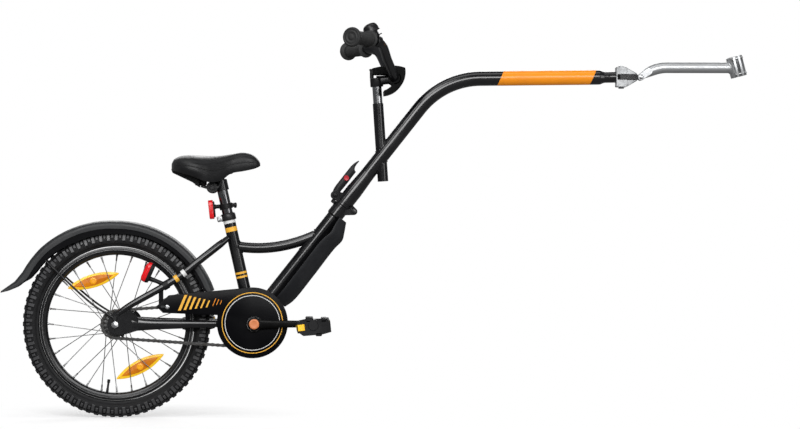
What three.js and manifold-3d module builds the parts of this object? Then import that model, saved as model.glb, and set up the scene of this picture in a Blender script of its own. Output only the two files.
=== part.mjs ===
// A child's one-wheel trailer bike with its tow bar, hitch and seat-post clamp.
// Millimetres and degrees. X runs forward, Y to the rider's left and Z up. The origin is the centre of the
// clamp on the towing bicycle's seat post. The drive side faces -Y.

import * as THREE from 'three';
import { mergeVertices } from 'three/addons/utils/BufferGeometryUtils.js';
import Module from 'manifold-3d';

const wasm = await Module();
wasm.setup();

// Clearances, cuts and the number of sides of round shapes
const clearance = 0.3; // between neighbours that touch, and all round a pin in its hole
const overrun = 40; // how far a cutting solid stands past what it cuts
const sliver = 0.02; // facets thinner than this are merged away
const fewSides = 8;
const someSides = 10;
const manySides = 12;
const wheelSides = 32;
const chainSides = 12;
const fineSteps = 28;
const bridgeSteps = 200;
const mudguardSteps = 20;
const someSteps = 12;
const fewSteps = 6;

// Seat-post clamp
const postDiameter = 27.2;
const postLean = 14.4;
const clampHeight = 50;
const clampWall = 6;
const clampGap = 8;
const flangeThickness = 4.5;
const flangeReach = 31;
const clampBoltDiameter = 6;
const boltHoleReach = 1;
const clampBoltSpread = 24.5;
const clampBoltRise = 18.5;
const clampBoltTip = 4;
const boltHeadDiameter = 11;
const boltHeadHeight = 4;

// Hitch arm and its fork
const armDiameter = 26;
const armWall = 2.5;
const armDrop = 2.6;
const armStraight = 168;
const armBendRadius = 100;
const armBendAngle = 36;
const forkTail = 7;
const forkSlotDepth = 9;
const cheekRadius = 8;
const cheekLength = 26;

// Pitch pin, tongue and king pin
const pitchPinDiameter = 7;
const rivetHeadDiameter = 12;
const rivetHeadHeight = 2.5;
const tongueThickness = 12;
const tongueWidth = 18.4;
const tongueLength = 47;
const kingPinDiameter = 9;
const kingPinHeadDiameter = 15;
const kingPinHeadHeight = 3.4;

// Yoke
const yokeHeight = 48;
const yokePlate = 3;
const yokeEndGap = 1;
const yokeWidth = 30;
const yokeEarReach = 13;
const wingReach = 38;
const wingWidth = 16;
const wingTip = 2.5;
const spigotLength = 30;

// Tow bar
const towBarDiameter = 35;
const towBarWall = 2;
const neckDiameter = 26.4;
const neckLength = 32;
const taperLength = 9;
const towBarTilt = 0.7;
const towBarFront = 418;
const towBarBendRadius = 190;
const towBarSlope = 51.7;
const towBarLower = 389;

// Head tube and stem
const headTubeDiameter = 25.4;
const quillDiameter = 22.2;
const headTubeAt = 151;
const headTubeUp = 128;
const headTubeDown = 60;
const headLean = 3.7;
const quillInsertion = 110;
const stemRise = 59;
const stemHeadDiameter = 31;
const stemHeadTop = 13;
const stemHeadBottom = 19;
const stemReach = 43.5;
const stemPlateHeight = 25;
const stemPlateWidth = 25;
const barClampWidth = 36;
const barClampWall = 4;

// Folding coupling and latch
const couplingDiameter = 40;
const couplingLength = 58;
const couplingFoot = 34;
const hingeRise = 6;
const hingeOffset = 30;
const hingePinDiameter = 8;
const hingeEyeRadius = 8.4;
const hingeLugWidth = 16;
const hingeEarThickness = 6;
const hingeRootLength = 26;
const hingePinHead = 3;
const latchRise = 9;
const latchOffset = 30;
const latchEyeRadius = 8;
const leverWidth = 18;
const leverThickness = 18;
const leverLength = 75;
const leverTip = 100;
const leverTipThickness = 2.5;
const latchEarThickness = 3.5;
const latchBossLength = 10;
const latchBossDepth = 9;
const latchButtonDiameter = 13;
const latchButtonAt = 49;
const latchButtonDepth = 4;
const latchButtonStand = 2;

// Handlebar, grips, pad and bell
const barDiameter = 22.2;
const barFlat = 34;
const barRiseOut = 150;
const barRise = 76;
const barSetback = 38;
const barBendOut = 176;
const barBendBack = 62;
const barGripRise = 83;
const gripLength = 92;
const gripSweep = 27;
const gripDiameter = 32;
const gripEndDiameter = 46;
const gripEndThickness = 9;
const gripFlangeDiameter = 42;
const gripFlangeThickness = 4;
const padRadius = 55;
const padThickness = 6.5;
const padWidth = 90;
const padSetback = 29.5;
const padLift = 14.5;
const padTopAngle = 11;
const padBottomAngle = 86;
const padTopBack = 25;
const padTopRise = 9;
const padTopUnder = 2;
const padCrown = 22;
const padSleeveWall = 4.5;
const padCheek = 19;
const padCheekDrop = 4;
const bellShare = 0.188;
const bellDiameter = 38;
const bellHeight = 22;
const bellStand = 13;
const bellTilt = 27;
const bellBaseDiameter = 24;
const bellClampWidth = 12;
const bellClampWall = 3;
const strikerLength = 20;
const strikerWidth = 7;
const strikerThickness = 2.4;

// Frame tubes
const downTubeDiameter = 34;
const downTubeWall = 2;
const downTubeLength = 351.5;
const shellOffset = 9;
const shellDiameter = 40;
const shellWidth = 68;
const shellWall = 3;
const seatTubeDiameter = 28.6;
const seatTubeLength = 268;
const seatTubeLean = 12.7;
const seatTubeSetback = 5.6;
const topTubeDiameter = 25.4;
const topTubeWall = 1.8;
const topTubeDrop = 78;
const topTubeAt = seatTubeLength - topTubeDrop;
const topTubeEnd = 80;
const topTubeSag = 36;
const seatStayDiameter = 15;
const seatStayDrop = 50.5;
const seatStayAt = seatTubeLength - seatStayDrop;
const seatStayRoot = 12;
const seatStayBow = 37;
const seatStayBowShare = 0.56;
const seatStayElbow = 46;
const seatStayElbowBack = 187;
const seatStayElbowRise = 107;
const seatStayFootRise = 40;
const seatStayFootAhead = 26;
const seatStayToeRise = 22;
const seatStayToeAhead = 2;
const bridgeDiameter = 10;
const chainStayRoot = 25;
const chainStayFrontHeight = 14;
const chainStayRearHeight = 32;
const chainStayWidth = 13;
const axleDrop = 1.2;

// Dropouts and rear axle
const dropoutSpacing = 107;
const dropoutThickness = 5;
const dropoutFront = 56;
const dropoutTop = 34;
const dropoutBottom = 24;
const dropoutBack = 18;
const axleDiameter = 10;
const axleNutDiameter = 17.3;
const axleNutThickness = 8;
const axleTip = 5;
const axleSpacerDiameter = 16;

// Wheel
const wheelDiameter = 449;
const tyreHeight = 40.5;
const tyreWidth = 47;
const tyreWall = 4;
const rimDiameter = wheelDiameter - 2 * tyreHeight;
const wheelRoom = 105.5;
const chainStayLength = wheelDiameter / 2 + wheelRoom;
const rimDepth = 19;
const rimWidth = 27;
const rimWall = 3;
const rimWell = 9;
const hubDiameter = 36;
const hubLength = 60;
const hubBossDiameter = 23;
const hubBossLength = 95;
const flangeDiameter = 56;
const flangeWall = 4;
const spokeDiameter = 2.2;
const spokesPerSide = 10;
const spokeCross = 48;
const reflectorLength = 126;
const reflectorWidth = 30;
const reflectorThickness = 12;
const reflectorInset = 48;
const reflectorRadius = rimDiameter / 2 - rimDepth - reflectorInset;
const reflectorAngle = 118.5;
const upperReflectorTurn = -12;
const lowerReflectorTurn = -1;

// Chain drive
const chainPitch = 12.7;
const ringTeeth = 28;
const sprocketTeeth = 16;
const chainLine = 44;
const toothHeight = 2;
const sprocketThickness = 2.6;
const chainWidth = 7.4;
const chainInside = 3.6;
const chainPlateHeight = 8.6;
const chainWeb = 1.4;
const freewheelDiameter = 44;
const freewheelWidth = 13;
const ringBossDiameter = 36;

// Bottom bracket, cranks and pedals
const spindleDiameter = 16;
const crankLength = 140;
const crankThickness = 13;
const crankBossDiameter = 32;
const crankEndDiameter = 24;
const crankArmHeight = 20;
const rightCrankStand = 57;
const leftCrankStand = 50;
const crankCapDiameter = 24;
const crankCapHeight = 2.5;
const pedalAxleDiameter = 12;
const pedalLength = 80;
const pedalWidth = 84;
const pedalHeight = 28;
const pedalTilt = 7;
const pedalBarrelDiameter = 26;
const pedalGap = 3;
const pedalRail = 13;
const pedalTip = 4;

// Chain guard
const guardRadius = 84.5;
const guardSetback = 4.5;
const guardRise = 2.5;
const guardThickness = 2;
const guardLip = 3.6;
const guardOuter = 54;
const guardTipBack = 233;
const guardTipRise = 42;
const guardTailTop = 203;
const guardTailTopRise = 68.5;
const guardTailBottom = 217;
const guardTailBottomRise = 26.5;
const guardHole = 36;
const guardTabWidth = 12;
const guardTabBack = 228;
const guardTabReach = 52;

// Mudguard and its stay
const mudguardRoom = 21.5;
const mudguardRadius = wheelDiameter / 2 + mudguardRoom;
const mudguardGrowth = 10;
const mudguardGrowthEnd = 135;
const mudguardFront = 19;
const mudguardRear = 151;
const mudguardWidth = 54;
const mudguardSkirt = 26;
const mudguardCrown = 4.5;
const mudguardWall = 1.8;
const mudguardShoulder = 8;
const flapStart = 30;
const flapStartAngle = 231;
const flapLength = 40;
const flapAngle = 215;
const flapDepth = 7;
const stayWireDiameter = 5;
const stayWireAngle = 138;
const stayWireStand = 64;
const stayEyeRise = 14;

// Rear lamp
const lampWidth = 34;
const lampHeight = 50;
const lampDepth = 21;
const lensDepth = 13;
const lampLean = 24;
const lampSide = 46;
const lampStayShare = 0.59;
const lampRise = 30;
const lampSetback = 40;
const lampStrutHeight = 12;
const lampRingWidth = 14;
const lampRingWall = 3;

// Splash guard under the down tube
const splashTop = 26;
const splashFoot = 75.5;
const splashLength = downTubeLength - splashTop - splashFoot;
const splashWidth = 100;
const splashDepth = 50;
const splashWall = 2.5;
const splashCurl = 36;
const splashPostDiameter = 12;
const splashPostInset = 60;

// Outline of the splash guard from top to bottom, as shares: place along it, width and distance from the tube
const splashShares = [
  [0.0, 0.5, 0.64],
  [0.09, 0.78, 0.88],
  [0.16, 0.9, 1.03],
  [0.27, 0.97, 0.98],
  [0.6, 1.0, 1.0],
  [0.9, 0.96, 0.98],
  [1.0, 0.8, 0.84],
];

// Seat collar, seat post and post reflector
const collarWall = 3;
const collarHeight = 15;
const collarLip = 2;
const collarEarReach = 12;
const collarEarWidth = 18;
const collarEarHeight = 13;
const seatPostDiameter = 25.4;
const seatPostStand = 84;
const seatPostTop = seatTubeLength + seatPostStand;
const seatPostInsertion = 90;
const postReflectorStand = 19;
const postReflectorAt = seatTubeLength + postReflectorStand;
const postReflectorDrop = 7;
const postReflectorHeight = 46;
const postReflectorWidth = 40;
const postReflectorThickness = 8;
const postReflectorBack = 38;
const reflectorPlate = 3.5;
const reflectorArmHeight = 11;
const reflectorRingWall = 3;
const reflectorRingHeight = 13;
const reflectorNutReach = 11;
const reflectorNutDiameter = 11;

// Saddle and its clamp
const saddleClampStand = 70.5;
const saddleClampAt = seatTubeLength + saddleClampStand;
const saddleClampHeight = 26;
const saddleClampWall = 4.5;
const tiltSetback = 21.2;
const tiltBarrelDiameter = 29;
const tiltBarrelWidth = 36;
const tiltBoltDiameter = 8;
const tiltWasherDiameter = 27;
const tiltWasherThickness = 4;
const railDiameter = 7;
const railSpread = 22;
const railNose = 46;
const railRear = 27;
const saddleRear = 97;
const saddleFront = 114;
const saddleWidth = 146;
const saddleTop = 84;
const saddleUnder = 44;
const panThickness = 4;
const panBlockRear = 98;
const panBlockTop = 43;
const panBlockLow = 34;
const panBlockMiddle = 47.5;
const panBlockDrop = 12;
const panBlockFront = 31;
const panBlockWidth = 70;

// Outline of the saddle from rear to nose, as shares: place between rear and nose, half width of half the
// saddle's width, top line and skirt line of the top height
const saddleShares = [
  [0.0, 0.36, 0.7, 0.58],
  [0.035, 0.68, 0.83, 0.52],
  [0.12, 0.91, 0.91, 0.43],
  [0.245, 1.0, 0.92, 0.31],
  [0.385, 0.9, 0.9, 0.17],
  [0.53, 0.62, 0.9, 0.17],
  [0.665, 0.37, 0.945, 0.4],
  [0.81, 0.29, 1.0, 0.47],
  [0.92, 0.26, 0.93, 0.53],
  [0.975, 0.18, 0.81, 0.58],
  [1.0, 0.07, 0.7, 0.62],
];

const group = new THREE.Group();
const lateral = new THREE.Vector3(0, 1, 0);
const upright = new THREE.Vector3(0, 0, 1);
const forward = new THREE.Vector3(1, 0, 0);
const radians = THREE.MathUtils.degToRad;
const sides = [['right', -1], ['left', 1]];

// Points and directions in the middle plane. Below is a quarter turn clockwise of a direction, seen from the
// drive side.
const point = (x, z, y = 0) => new THREE.Vector3(x, y, z);
const heading = (angle) => point(Math.cos(radians(angle)), Math.sin(radians(angle)));
const belowOf = (direction) => point(direction.z, -direction.x);

function from(origin, direction, along, below = 0, y = 0) {
  const place = origin.clone().addScaledVector(direction, along);
  return place.addScaledVector(belowOf(direction), below).addScaledVector(lateral, y);
}

// Turns a closed geometry, facing either way, into a solid that faces out.
function solid(geometry) {
  geometry.deleteAttribute('normal');
  geometry.deleteAttribute('uv');
  const merged = mergeVertices(geometry);
  const place = merged.attributes.position;
  const corners = Array.from(merged.index.array);
  const [a, b, c] = [new THREE.Vector3(), new THREE.Vector3(), new THREE.Vector3()];
  let volume = 0;
  for (let i = 0; i < corners.length; i += 3) {
    [a, b, c].forEach((corner, k) => corner.fromBufferAttribute(place, corners[i + k]));
    volume += a.dot(b.cross(c));
  }
  const triVerts = new Uint32Array(volume < 0 ? corners.reverse() : corners);
  const vertProperties = new Float32Array(place.array);
  return new wasm.Manifold(new wasm.Mesh({ numProp: 3, vertProperties, triVerts }));
}

const joined = (...bodies) => bodies.reduce((whole, body) => whole.add(body));
const cut = (body, ...tools) => tools.reduce((whole, tool) => whole.subtract(tool), body);

function place(name, body, color, roughness, metalness) {
  const { vertProperties, triVerts } = body.simplify(sliver).getMesh();
  const geometry = new THREE.BufferGeometry();
  geometry.setAttribute('position', new THREE.BufferAttribute(vertProperties, 3));
  geometry.setIndex(new THREE.BufferAttribute(triVerts, 1));
  geometry.computeVertexNormals();
  const material = new THREE.MeshStandardMaterial({ color, roughness, metalness });
  const mesh = new THREE.Mesh(geometry, material);
  mesh.name = name;
  group.add(mesh);
}

// A straight round bar between two points, with the same or another radius at its end.
function rod(start, end, radius, count = someSides, endRadius = radius) {
  const reach = end.clone().sub(start);
  const geometry = new THREE.CylinderGeometry(endRadius, radius, reach.length(), count);
  const turn = new THREE.Quaternion().setFromUnitVectors(lateral, reach.clone().normalize());
  const middle = start.clone().addScaledVector(reach, 1 / 2);
  geometry.applyQuaternion(turn).translate(middle.x, middle.y, middle.z);
  return solid(geometry);
}

// The cut for a round hole: its flats, not its corners, lie on the radius, and it runs past both points.
function bore(start, end, radius, count = someSides, past = overrun) {
  const reach = end.clone().sub(start).normalize().multiplyScalar(past);
  const first = start.clone().sub(reach);
  return rod(first, end.clone().add(reach), radius / Math.cos(Math.PI / count), count);
}

const pinAt = (centre, radius, low, high, count) => (
  rod(from(centre, forward, 0, 0, low), from(centre, forward, 0, 0, high), radius, count)
);
const pinHole = (centre, radius, count) => (
  bore(centre.clone().sub(lateral), centre.clone().add(lateral), radius, count, overrun * 4)
);

function outline(points) {
  return new THREE.Shape(points.map(([x, y]) => new THREE.Vector2(x, y)));
}

function disc(radius, count) {
  const turns = Array.from({ length: count }, (_, i) => (2 * Math.PI * i) / count);
  return outline(turns.map((turn) => [radius * Math.cos(turn), radius * Math.sin(turn)]));
}

// A shape drawn along and below a direction, thick in Y from low to high.
function plate(origin, direction, shape, low, high, curveSegments = fewSides) {
  const settings = { depth: high - low, bevelEnabled: false, curveSegments };
  const geometry = new THREE.ExtrudeGeometry(shape, settings);
  const basis = new THREE.Matrix4().makeBasis(direction, belowOf(direction), lateral);
  geometry.translate(0, 0, low).applyMatrix4(basis).translate(origin.x, origin.y, origin.z);
  return solid(geometry);
}

function block(origin, direction, [start, end], [top, bottom], [low, high]) {
  const shape = outline([[start, top], [end, top], [end, bottom], [start, bottom]]);
  return plate(origin, direction, shape, low, high);
}

// A flat link: two round ends of their own radii and the straight sides that join them.
function link(first, second, radius, endRadius, low, high) {
  const reach = second.clone().sub(first);
  const length = reach.length();
  const open = Math.acos((radius - endRadius) / length);
  const shape = new THREE.Shape();
  shape.absarc(0, 0, radius, open, 2 * Math.PI - open, false);
  shape.absarc(length, 0, endRadius, -open, open, false);
  shape.closePath();
  return plate(first, reach.normalize(), shape, low, high);
}

// Walks from a point in legs: a run is straight, and a bend has a radius and turns the course.
function walk(start, course, legs) {
  const stations = [start.clone()];
  let place = start.clone();
  let angle = course;
  for (const { run, radius, turn, steps } of legs) {
    if (run) {
      place = from(place, heading(angle), run);
      stations.push(place.clone());
    }
    if (turn) {
      const toCentre = heading(angle + 90 * Math.sign(turn));
      const centre = place.clone().addScaledVector(toCentre, radius);
      for (let step = 1; step <= steps; step += 1) {
        const turned = angle + (turn * step) / steps;
        place = centre.clone().addScaledVector(heading(turned + 90 * Math.sign(turn)), -radius);
        stations.push(place.clone());
      }
      angle += turn;
    }
  }
  return stations;
}

function sweep(path, shape, steps) {
  return solid(new THREE.ExtrudeGeometry(shape, { steps, extrudePath: path, bevelEnabled: false }));
}

// Triangles that close a flat ring of points, in the ring's own turning direction.
function capOf(ring) {
  const normal = new THREE.Vector3();
  ring.forEach((corner, i) => normal.add(corner.clone().cross(ring[(i + 1) % ring.length])));
  normal.normalize();
  const across = ring[1].clone().sub(ring[0]).projectOnPlane(normal).normalize();
  const up = normal.clone().cross(across);
  const flat = ring.map((corner) => new THREE.Vector2(corner.dot(across), corner.dot(up)));
  return THREE.ShapeUtils.triangulateShape(flat, []).map(([a, b, c]) => {
    const turn = flat[b].clone().sub(flat[a]).cross(flat[c].clone().sub(flat[a]));
    return turn > 0 ? [a, b, c] : [a, c, b];
  });
}

// A closed body through flat rings of points, all with the same count.
function loft(rings) {
  const count = rings[0].length;
  const last = (rings.length - 1) * count;
  const faces = [];
  for (let ring = 0; ring < rings.length - 1; ring += 1) {
    for (let i = 0; i < count; i += 1) {
      const [a, b] = [ring * count + i, ring * count + ((i + 1) % count)];
      faces.push(a, b, b + count, a, b + count, a + count);
    }
  }
  capOf(rings[0]).forEach(([a, b, c]) => faces.push(a, c, b));
  capOf(rings[rings.length - 1]).forEach(([a, b, c]) => faces.push(last + a, last + b, last + c));
  const geometry = new THREE.BufferGeometry().setFromPoints(rings.flat());
  geometry.setIndex(faces);
  return solid(geometry);
}

// A round bar through stations in one plane, with one radius or a radius for each station.
function tube(stations, radii, count = someSides) {
  const courses = stations.slice(1).map((station, i) => station.clone().sub(stations[i]).normalize());
  const rings = stations.map((station, i) => {
    const course = courses[Math.max(i - 1, 0)].clone().add(courses[Math.min(i, courses.length - 1)]).normalize();
    const radius = Array.isArray(radii) ? radii[i] : radii;
    return Array.from({ length: count }, (_, k) => {
      const turn = (2 * Math.PI * (k + 1 / 2)) / count;
      return from(station, course, 0, radius * Math.cos(turn), radius * Math.sin(turn));
    });
  });
  return loft(rings);
}

// A ring turned about a Y axis through a centre, from a closed profile of [radius, y] pairs.
function turned(centre, profile, count) {
  const ends = [...profile, profile[0]].map(([radius, y]) => new THREE.Vector2(radius, y));
  const geometry = new THREE.LatheGeometry(ends, count);
  geometry.rotateY(Math.PI / count).translate(centre.x, centre.y, centre.z);
  return solid(geometry);
}

// Places that the pieces share, from the clamp back to the rear axle
const postUp = heading(90 + postLean);
const clampCentre = point(0, 0);
const clampBore = postDiameter / 2;
const clampOuter = clampBore + clampWall;
const armStart = point(0, -armDrop);
const armLegs = [{ run: armStraight }, { radius: armBendRadius, turn: armBendAngle, steps: 4 }];
const armStations = walk(armStart, 180, armLegs);
const forkRoot = armStations[armStations.length - 1];
const forkCourse = heading(180 + armBendAngle);
const pitchAxis = from(forkRoot, forkCourse, forkTail);
const kingAxis = pitchAxis.clone().addScaledVector(forward, -tongueLength);
const yokeInner = kingAxis.x - tongueWidth / 2 - yokeEndGap;
const yokeOuter = yokeInner - yokePlate;
const towBarStart = point(yokeOuter - clearance, kingAxis.z);
const towBarTurn = towBarSlope - towBarTilt;
const bendTangent = towBarBendRadius * Math.tan(radians(towBarTurn / 2));
const towBarCourse = 180 + towBarTilt;
const towBarCorner = from(towBarStart, heading(towBarCourse), towBarFront);
const barUp = heading(towBarSlope);
const coupling = from(towBarCorner, barUp, -towBarLower);
const hingeAxis = from(coupling, barUp, hingeRise, hingeOffset);
const latchAxis = from(coupling, barUp, latchRise, -latchOffset);
const headCrossing = from(coupling, barUp, headTubeAt);
const headUp = heading(90 + headLean);
const headTop = from(headCrossing, headUp, headTubeUp);
const headBottom = from(headCrossing, headUp, -headTubeDown);
const stemCentre = from(headTop, headUp, stemRise);
const barCentre = stemCentre.clone().addScaledVector(forward, stemReach);
const bracket = from(coupling, barUp, -downTubeLength, shellOffset);
const seatUp = heading(90 + seatTubeLean);
const seatRoot = bracket.clone().addScaledVector(forward, -seatTubeSetback);
const seatTubeTop = from(seatRoot, seatUp, seatTubeLength);
const rearAxle = point(bracket.x - chainStayLength, bracket.z - axleDrop);
const ringRadius = chainPitch / (2 * Math.sin(Math.PI / ringTeeth));
const sprocketRadius = chainPitch / (2 * Math.sin(Math.PI / sprocketTeeth));
const tiltAxis = from(seatRoot, seatUp, saddleClampAt, -tiltSetback);

// Seat-post clamp, one half on each side of the post, and its four bolts
function clampHalf(front) {
  const half = clampHeight / 2;
  const bottom = from(clampCentre, postUp, -half);
  const top = from(clampCentre, postUp, half);
  const inner = front * (clampGap / 2);
  const outer = inner + front * flangeThickness;
  const span = [-half, half];
  const flange = block(clampCentre, postUp, span, [inner, outer], [-flangeReach, flangeReach]);
  const beyond = front * (clampOuter + overrun);
  const room = block(clampCentre, postUp, span, [inner, beyond], [-clampOuter, clampOuter]);
  return joined(rod(bottom, top, clampOuter, manySides).intersect(room), flange);
}

function clampBoltPlaces() {
  const rises = [['upper', clampBoltRise], ['lower', -clampBoltRise]];
  return rises.flatMap(([row, rise]) => sides.map(([side, sign]) => (
    { name: `clamp_bolt_${row}_${side}`, at: from(clampCentre, postUp, rise, 0, sign * clampBoltSpread) }
  )));
}

function clampBolt(at) {
  const through = belowOf(postUp);
  const seat = clampGap / 2 + flangeThickness + clearance;
  const along = (distance) => at.clone().addScaledVector(through, distance);
  const head = rod(along(-seat - boltHeadHeight), along(-seat), boltHeadDiameter / 2, 6);
  const nut = rod(along(seat), along(seat + boltHeadHeight), boltHeadDiameter / 2, 6);
  const tip = along(seat + boltHeadHeight + clampBoltTip);
  return joined(rod(along(-seat - clearance), tip, clampBoltDiameter / 2, fewSides), head, nut);
}

const postHole = bore(from(clampCentre, postUp, -clampHeight), from(clampCentre, postUp, clampHeight),
  clampBore, manySides);
const clampBolts = clampBoltPlaces();
const clampHoles = clampBolts.map(({ at }) => {
  const [start, end] = [-boltHoleReach, boltHoleReach].map((down) => from(at, belowOf(postUp), down));
  return bore(start, end, clampBoltDiameter / 2 + clearance, fewSides);
});

function hitchArm() {
  const outer = tube(armStations, armDiameter / 2, manySides);
  const hollowStart = point(-clampOuter, -armDrop);
  const hollowLegs = [{ run: armStraight - clampOuter }, armLegs[1], { run: forkTail }];
  const hollow = tube(walk(hollowStart, 180, hollowLegs), armDiameter / 2 - armWall, manySides);
  const slotHalf = tongueWidth / 2 + clearance + clearance;
  const cheekStart = from(pitchAxis, forkCourse, -cheekLength);
  const cheeks = sides.map(([, sign]) => {
    const faces = [sign * slotHalf, sign * (armDiameter / 2)].sort((a, b) => a - b);
    return link(cheekStart, pitchAxis, cheekRadius, cheekRadius, ...faces);
  });
  const span = [-forkSlotDepth, overrun];
  const slot = block(pitchAxis, forkCourse, span, [-overrun, overrun], [-slotHalf, slotHalf]);
  const halfClamp = clampHalf(-1);
  const front = block(clampCentre, postUp, [-overrun, overrun], [-clampGap / 2, overrun], [-overrun, overrun]);
  const tubePart = cut(outer, hollow, front);
  const whole = joined(tubePart, ...cheeks, halfClamp);
  return cut(whole, slot, postHole, pinHole(pitchAxis, pitchPinDiameter / 2 + clearance), ...clampHoles);
}

function rivet(centre, radius, seat, headRadius, headHeight) {
  const shank = pinAt(centre, radius, -seat - clearance, seat + clearance);
  const heads = sides.map(([, sign]) => {
    const faces = [sign * seat, sign * (seat + headHeight)].sort((a, b) => a - b);
    return pinAt(centre, headRadius, ...faces);
  });
  return joined(shank, ...heads);
}

place('hitch_arm', hitchArm(), '#b9bbbd', 0.35, 0.9);
place('clamp_cap', cut(clampHalf(1), postHole, ...clampHoles), '#c4c6c8', 0.35, 0.9);
clampBolts.forEach(({ name, at }) => place(name, clampBolt(at), '#d0d2d4', 0.3, 1));
place('pitch_pin', rivet(pitchAxis, pitchPinDiameter / 2, armDiameter / 2 + clearance,
  rivetHeadDiameter / 2, rivetHeadHeight), '#c8cacc', 0.3, 1);

// Tongue: a bar with a round end at the king pin, seen from above, and one at the pitch pin, from the side
function tongue() {
  const half = tongueThickness / 2;
  const side = link(kingAxis.clone().addScaledVector(forward, -tongueWidth), pitchAxis,
    half, half, -tongueWidth / 2, tongueWidth / 2);
  const shape = new THREE.Shape();
  shape.absarc(0, 0, tongueWidth / 2, Math.PI / 2, (3 * Math.PI) / 2, false);
  shape.lineTo(tongueLength + half, -tongueWidth / 2);
  shape.lineTo(tongueLength + half, tongueWidth / 2);
  shape.closePath();
  const settings = { depth: tongueThickness, bevelEnabled: false, curveSegments: fewSides };
  const plan = new THREE.ExtrudeGeometry(shape, settings);
  plan.translate(kingAxis.x, kingAxis.y, kingAxis.z - half);
  const kingHole = bore(kingAxis, from(kingAxis, upright, tongueThickness), kingPinDiameter / 2 + clearance);
  const pitchHole = pinHole(pitchAxis, pitchPinDiameter / 2 + clearance);
  return cut(solid(plan).intersect(side), kingHole, pitchHole);
}

place('hitch_tongue', tongue(), '#1d1d1f', 0.5, 0.6);

// Yoke: back plate, two ears that narrow into wings, and a spigot inside the tow bar
function hitchYoke() {
  const slot = tongueThickness / 2 + clearance;
  const half = yokeHeight / 2;
  const earEnd = kingAxis.x + yokeEarReach;
  const wingEnd = kingAxis.x + wingReach;
  const level = point(0, kingAxis.z);
  const back = block(level, forward, [yokeOuter, yokeInner], [-half, half], [-yokeWidth / 2, yokeWidth / 2]);
  const halves = [1, -1].map((sign) => {
    const ear = block(level, forward, [yokeOuter, earEnd], [sign * slot, sign * half],
      [-yokeWidth / 2, yokeWidth / 2]);
    const wingShape = outline([[kingAxis.x, sign * slot], [wingEnd, sign * slot],
      [wingEnd, sign * (slot + wingTip)], [earEnd, sign * half], [kingAxis.x, sign * half]]);
    return joined(ear, plate(level, forward, wingShape, -wingWidth / 2, wingWidth / 2));
  });
  const spigotEnd = from(towBarStart, heading(towBarCourse), spigotLength);
  const spigotRadius = neckDiameter / 2 - towBarWall - clearance;
  const spigot = tube([point(yokeInner, kingAxis.z), spigotEnd], spigotRadius, manySides);
  const seat = bore(kingAxis, from(kingAxis, upright, yokeHeight), kingPinDiameter / 2 + clearance);
  return cut(joined(back, ...halves, spigot), seat);
}

function kingPin() {
  const seat = yokeHeight / 2 + clearance;
  const high = (distance) => kingAxis.clone().addScaledVector(upright, distance);
  const shank = rod(high(-seat - clearance), high(seat + clearance), kingPinDiameter / 2);
  const head = rod(high(seat), high(seat + kingPinHeadHeight), kingPinHeadDiameter / 2);
  const nut = rod(high(-seat - kingPinHeadHeight), high(-seat), kingPinHeadDiameter / 2, 6);
  return joined(shank, head, nut);
}

place('hitch_yoke', hitchYoke(), '#a9abad', 0.55, 0.8);
place('king_pin', kingPin(), '#c8cacc', 0.3, 1);

// Tow bar: neck, taper, level run, bend and sloping run, with the head tube and its half of the coupling
function towBar() {
  const front = heading(towBarCourse);
  const radius = towBarDiameter / 2;
  const taperStart = from(towBarStart, front, neckLength);
  const taperEnd = from(taperStart, front, taperLength);
  const straight = towBarFront - bendTangent - neckLength - taperLength;
  const stationsTo = (past) => {
    const bend = { radius: towBarBendRadius, turn: towBarTurn, steps: fewSteps };
    const legs = [{ run: straight }, bend, { run: towBarLower - bendTangent - clearance + past }];
    const start = from(towBarStart, front, -past);
    return [start, taperStart, ...walk(taperEnd, towBarCourse, legs)];
  };
  const radiiOf = (stations, inset) => (
    stations.map((_, i) => (i < 2 ? neckDiameter / 2 : radius) - inset)
  );
  const outside = stationsTo(0);
  const inside = stationsTo(overrun);
  const bar = tube(outside, radiiOf(outside, 0), manySides);
  const hollow = tube(inside, radiiOf(inside, towBarWall), manySides);
  const casting = rod(from(coupling, barUp, clearance), from(coupling, barUp, couplingLength),
    couplingDiameter / 2, manySides);
  const shell = cut(joined(bar, casting), hollow);
  const headTube = rod(headBottom, headTop, headTubeDiameter / 2, manySides);
  const headBore = bore(headBottom, headTop, quillDiameter / 2 + clearance, manySides);
  const lugHalf = hingeLugWidth / 2 - clearance;
  const root = from(coupling, barUp, hingeRootLength, couplingDiameter / 2 - 1.5 * towBarWall);
  const lug = link(hingeAxis, root, hingeEyeRadius, 2 * towBarWall, -lugHalf, lugHalf);
  const earInner = leverWidth / 2 + clearance;
  const latchRoot = from(coupling, barUp, latchRise + latchEyeRadius, -couplingDiameter / 2 + 2 * towBarWall);
  const ears = sides.map(([, sign]) => {
    const faces = [sign * earInner, sign * (earInner + latchEarThickness)].sort((a, b) => a - b);
    return link(latchAxis, latchRoot, latchEyeRadius, 2 * towBarWall, ...faces);
  });
  const holes = [
    pinHole(hingeAxis, hingePinDiameter / 2 + clearance),
    pinHole(latchAxis, pitchPinDiameter / 2 + clearance),
  ];
  const face = block(coupling, barUp, [-overrun, clearance], [-overrun, couplingDiameter / 2 + clearance],
    [-overrun, overrun]);
  return cut(joined(shell, headTube, cut(joined(lug, ...ears), face)), headBore, ...holes);
}

place('tow_bar', towBar(), '#141416', 0.25, 0.5);

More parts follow.
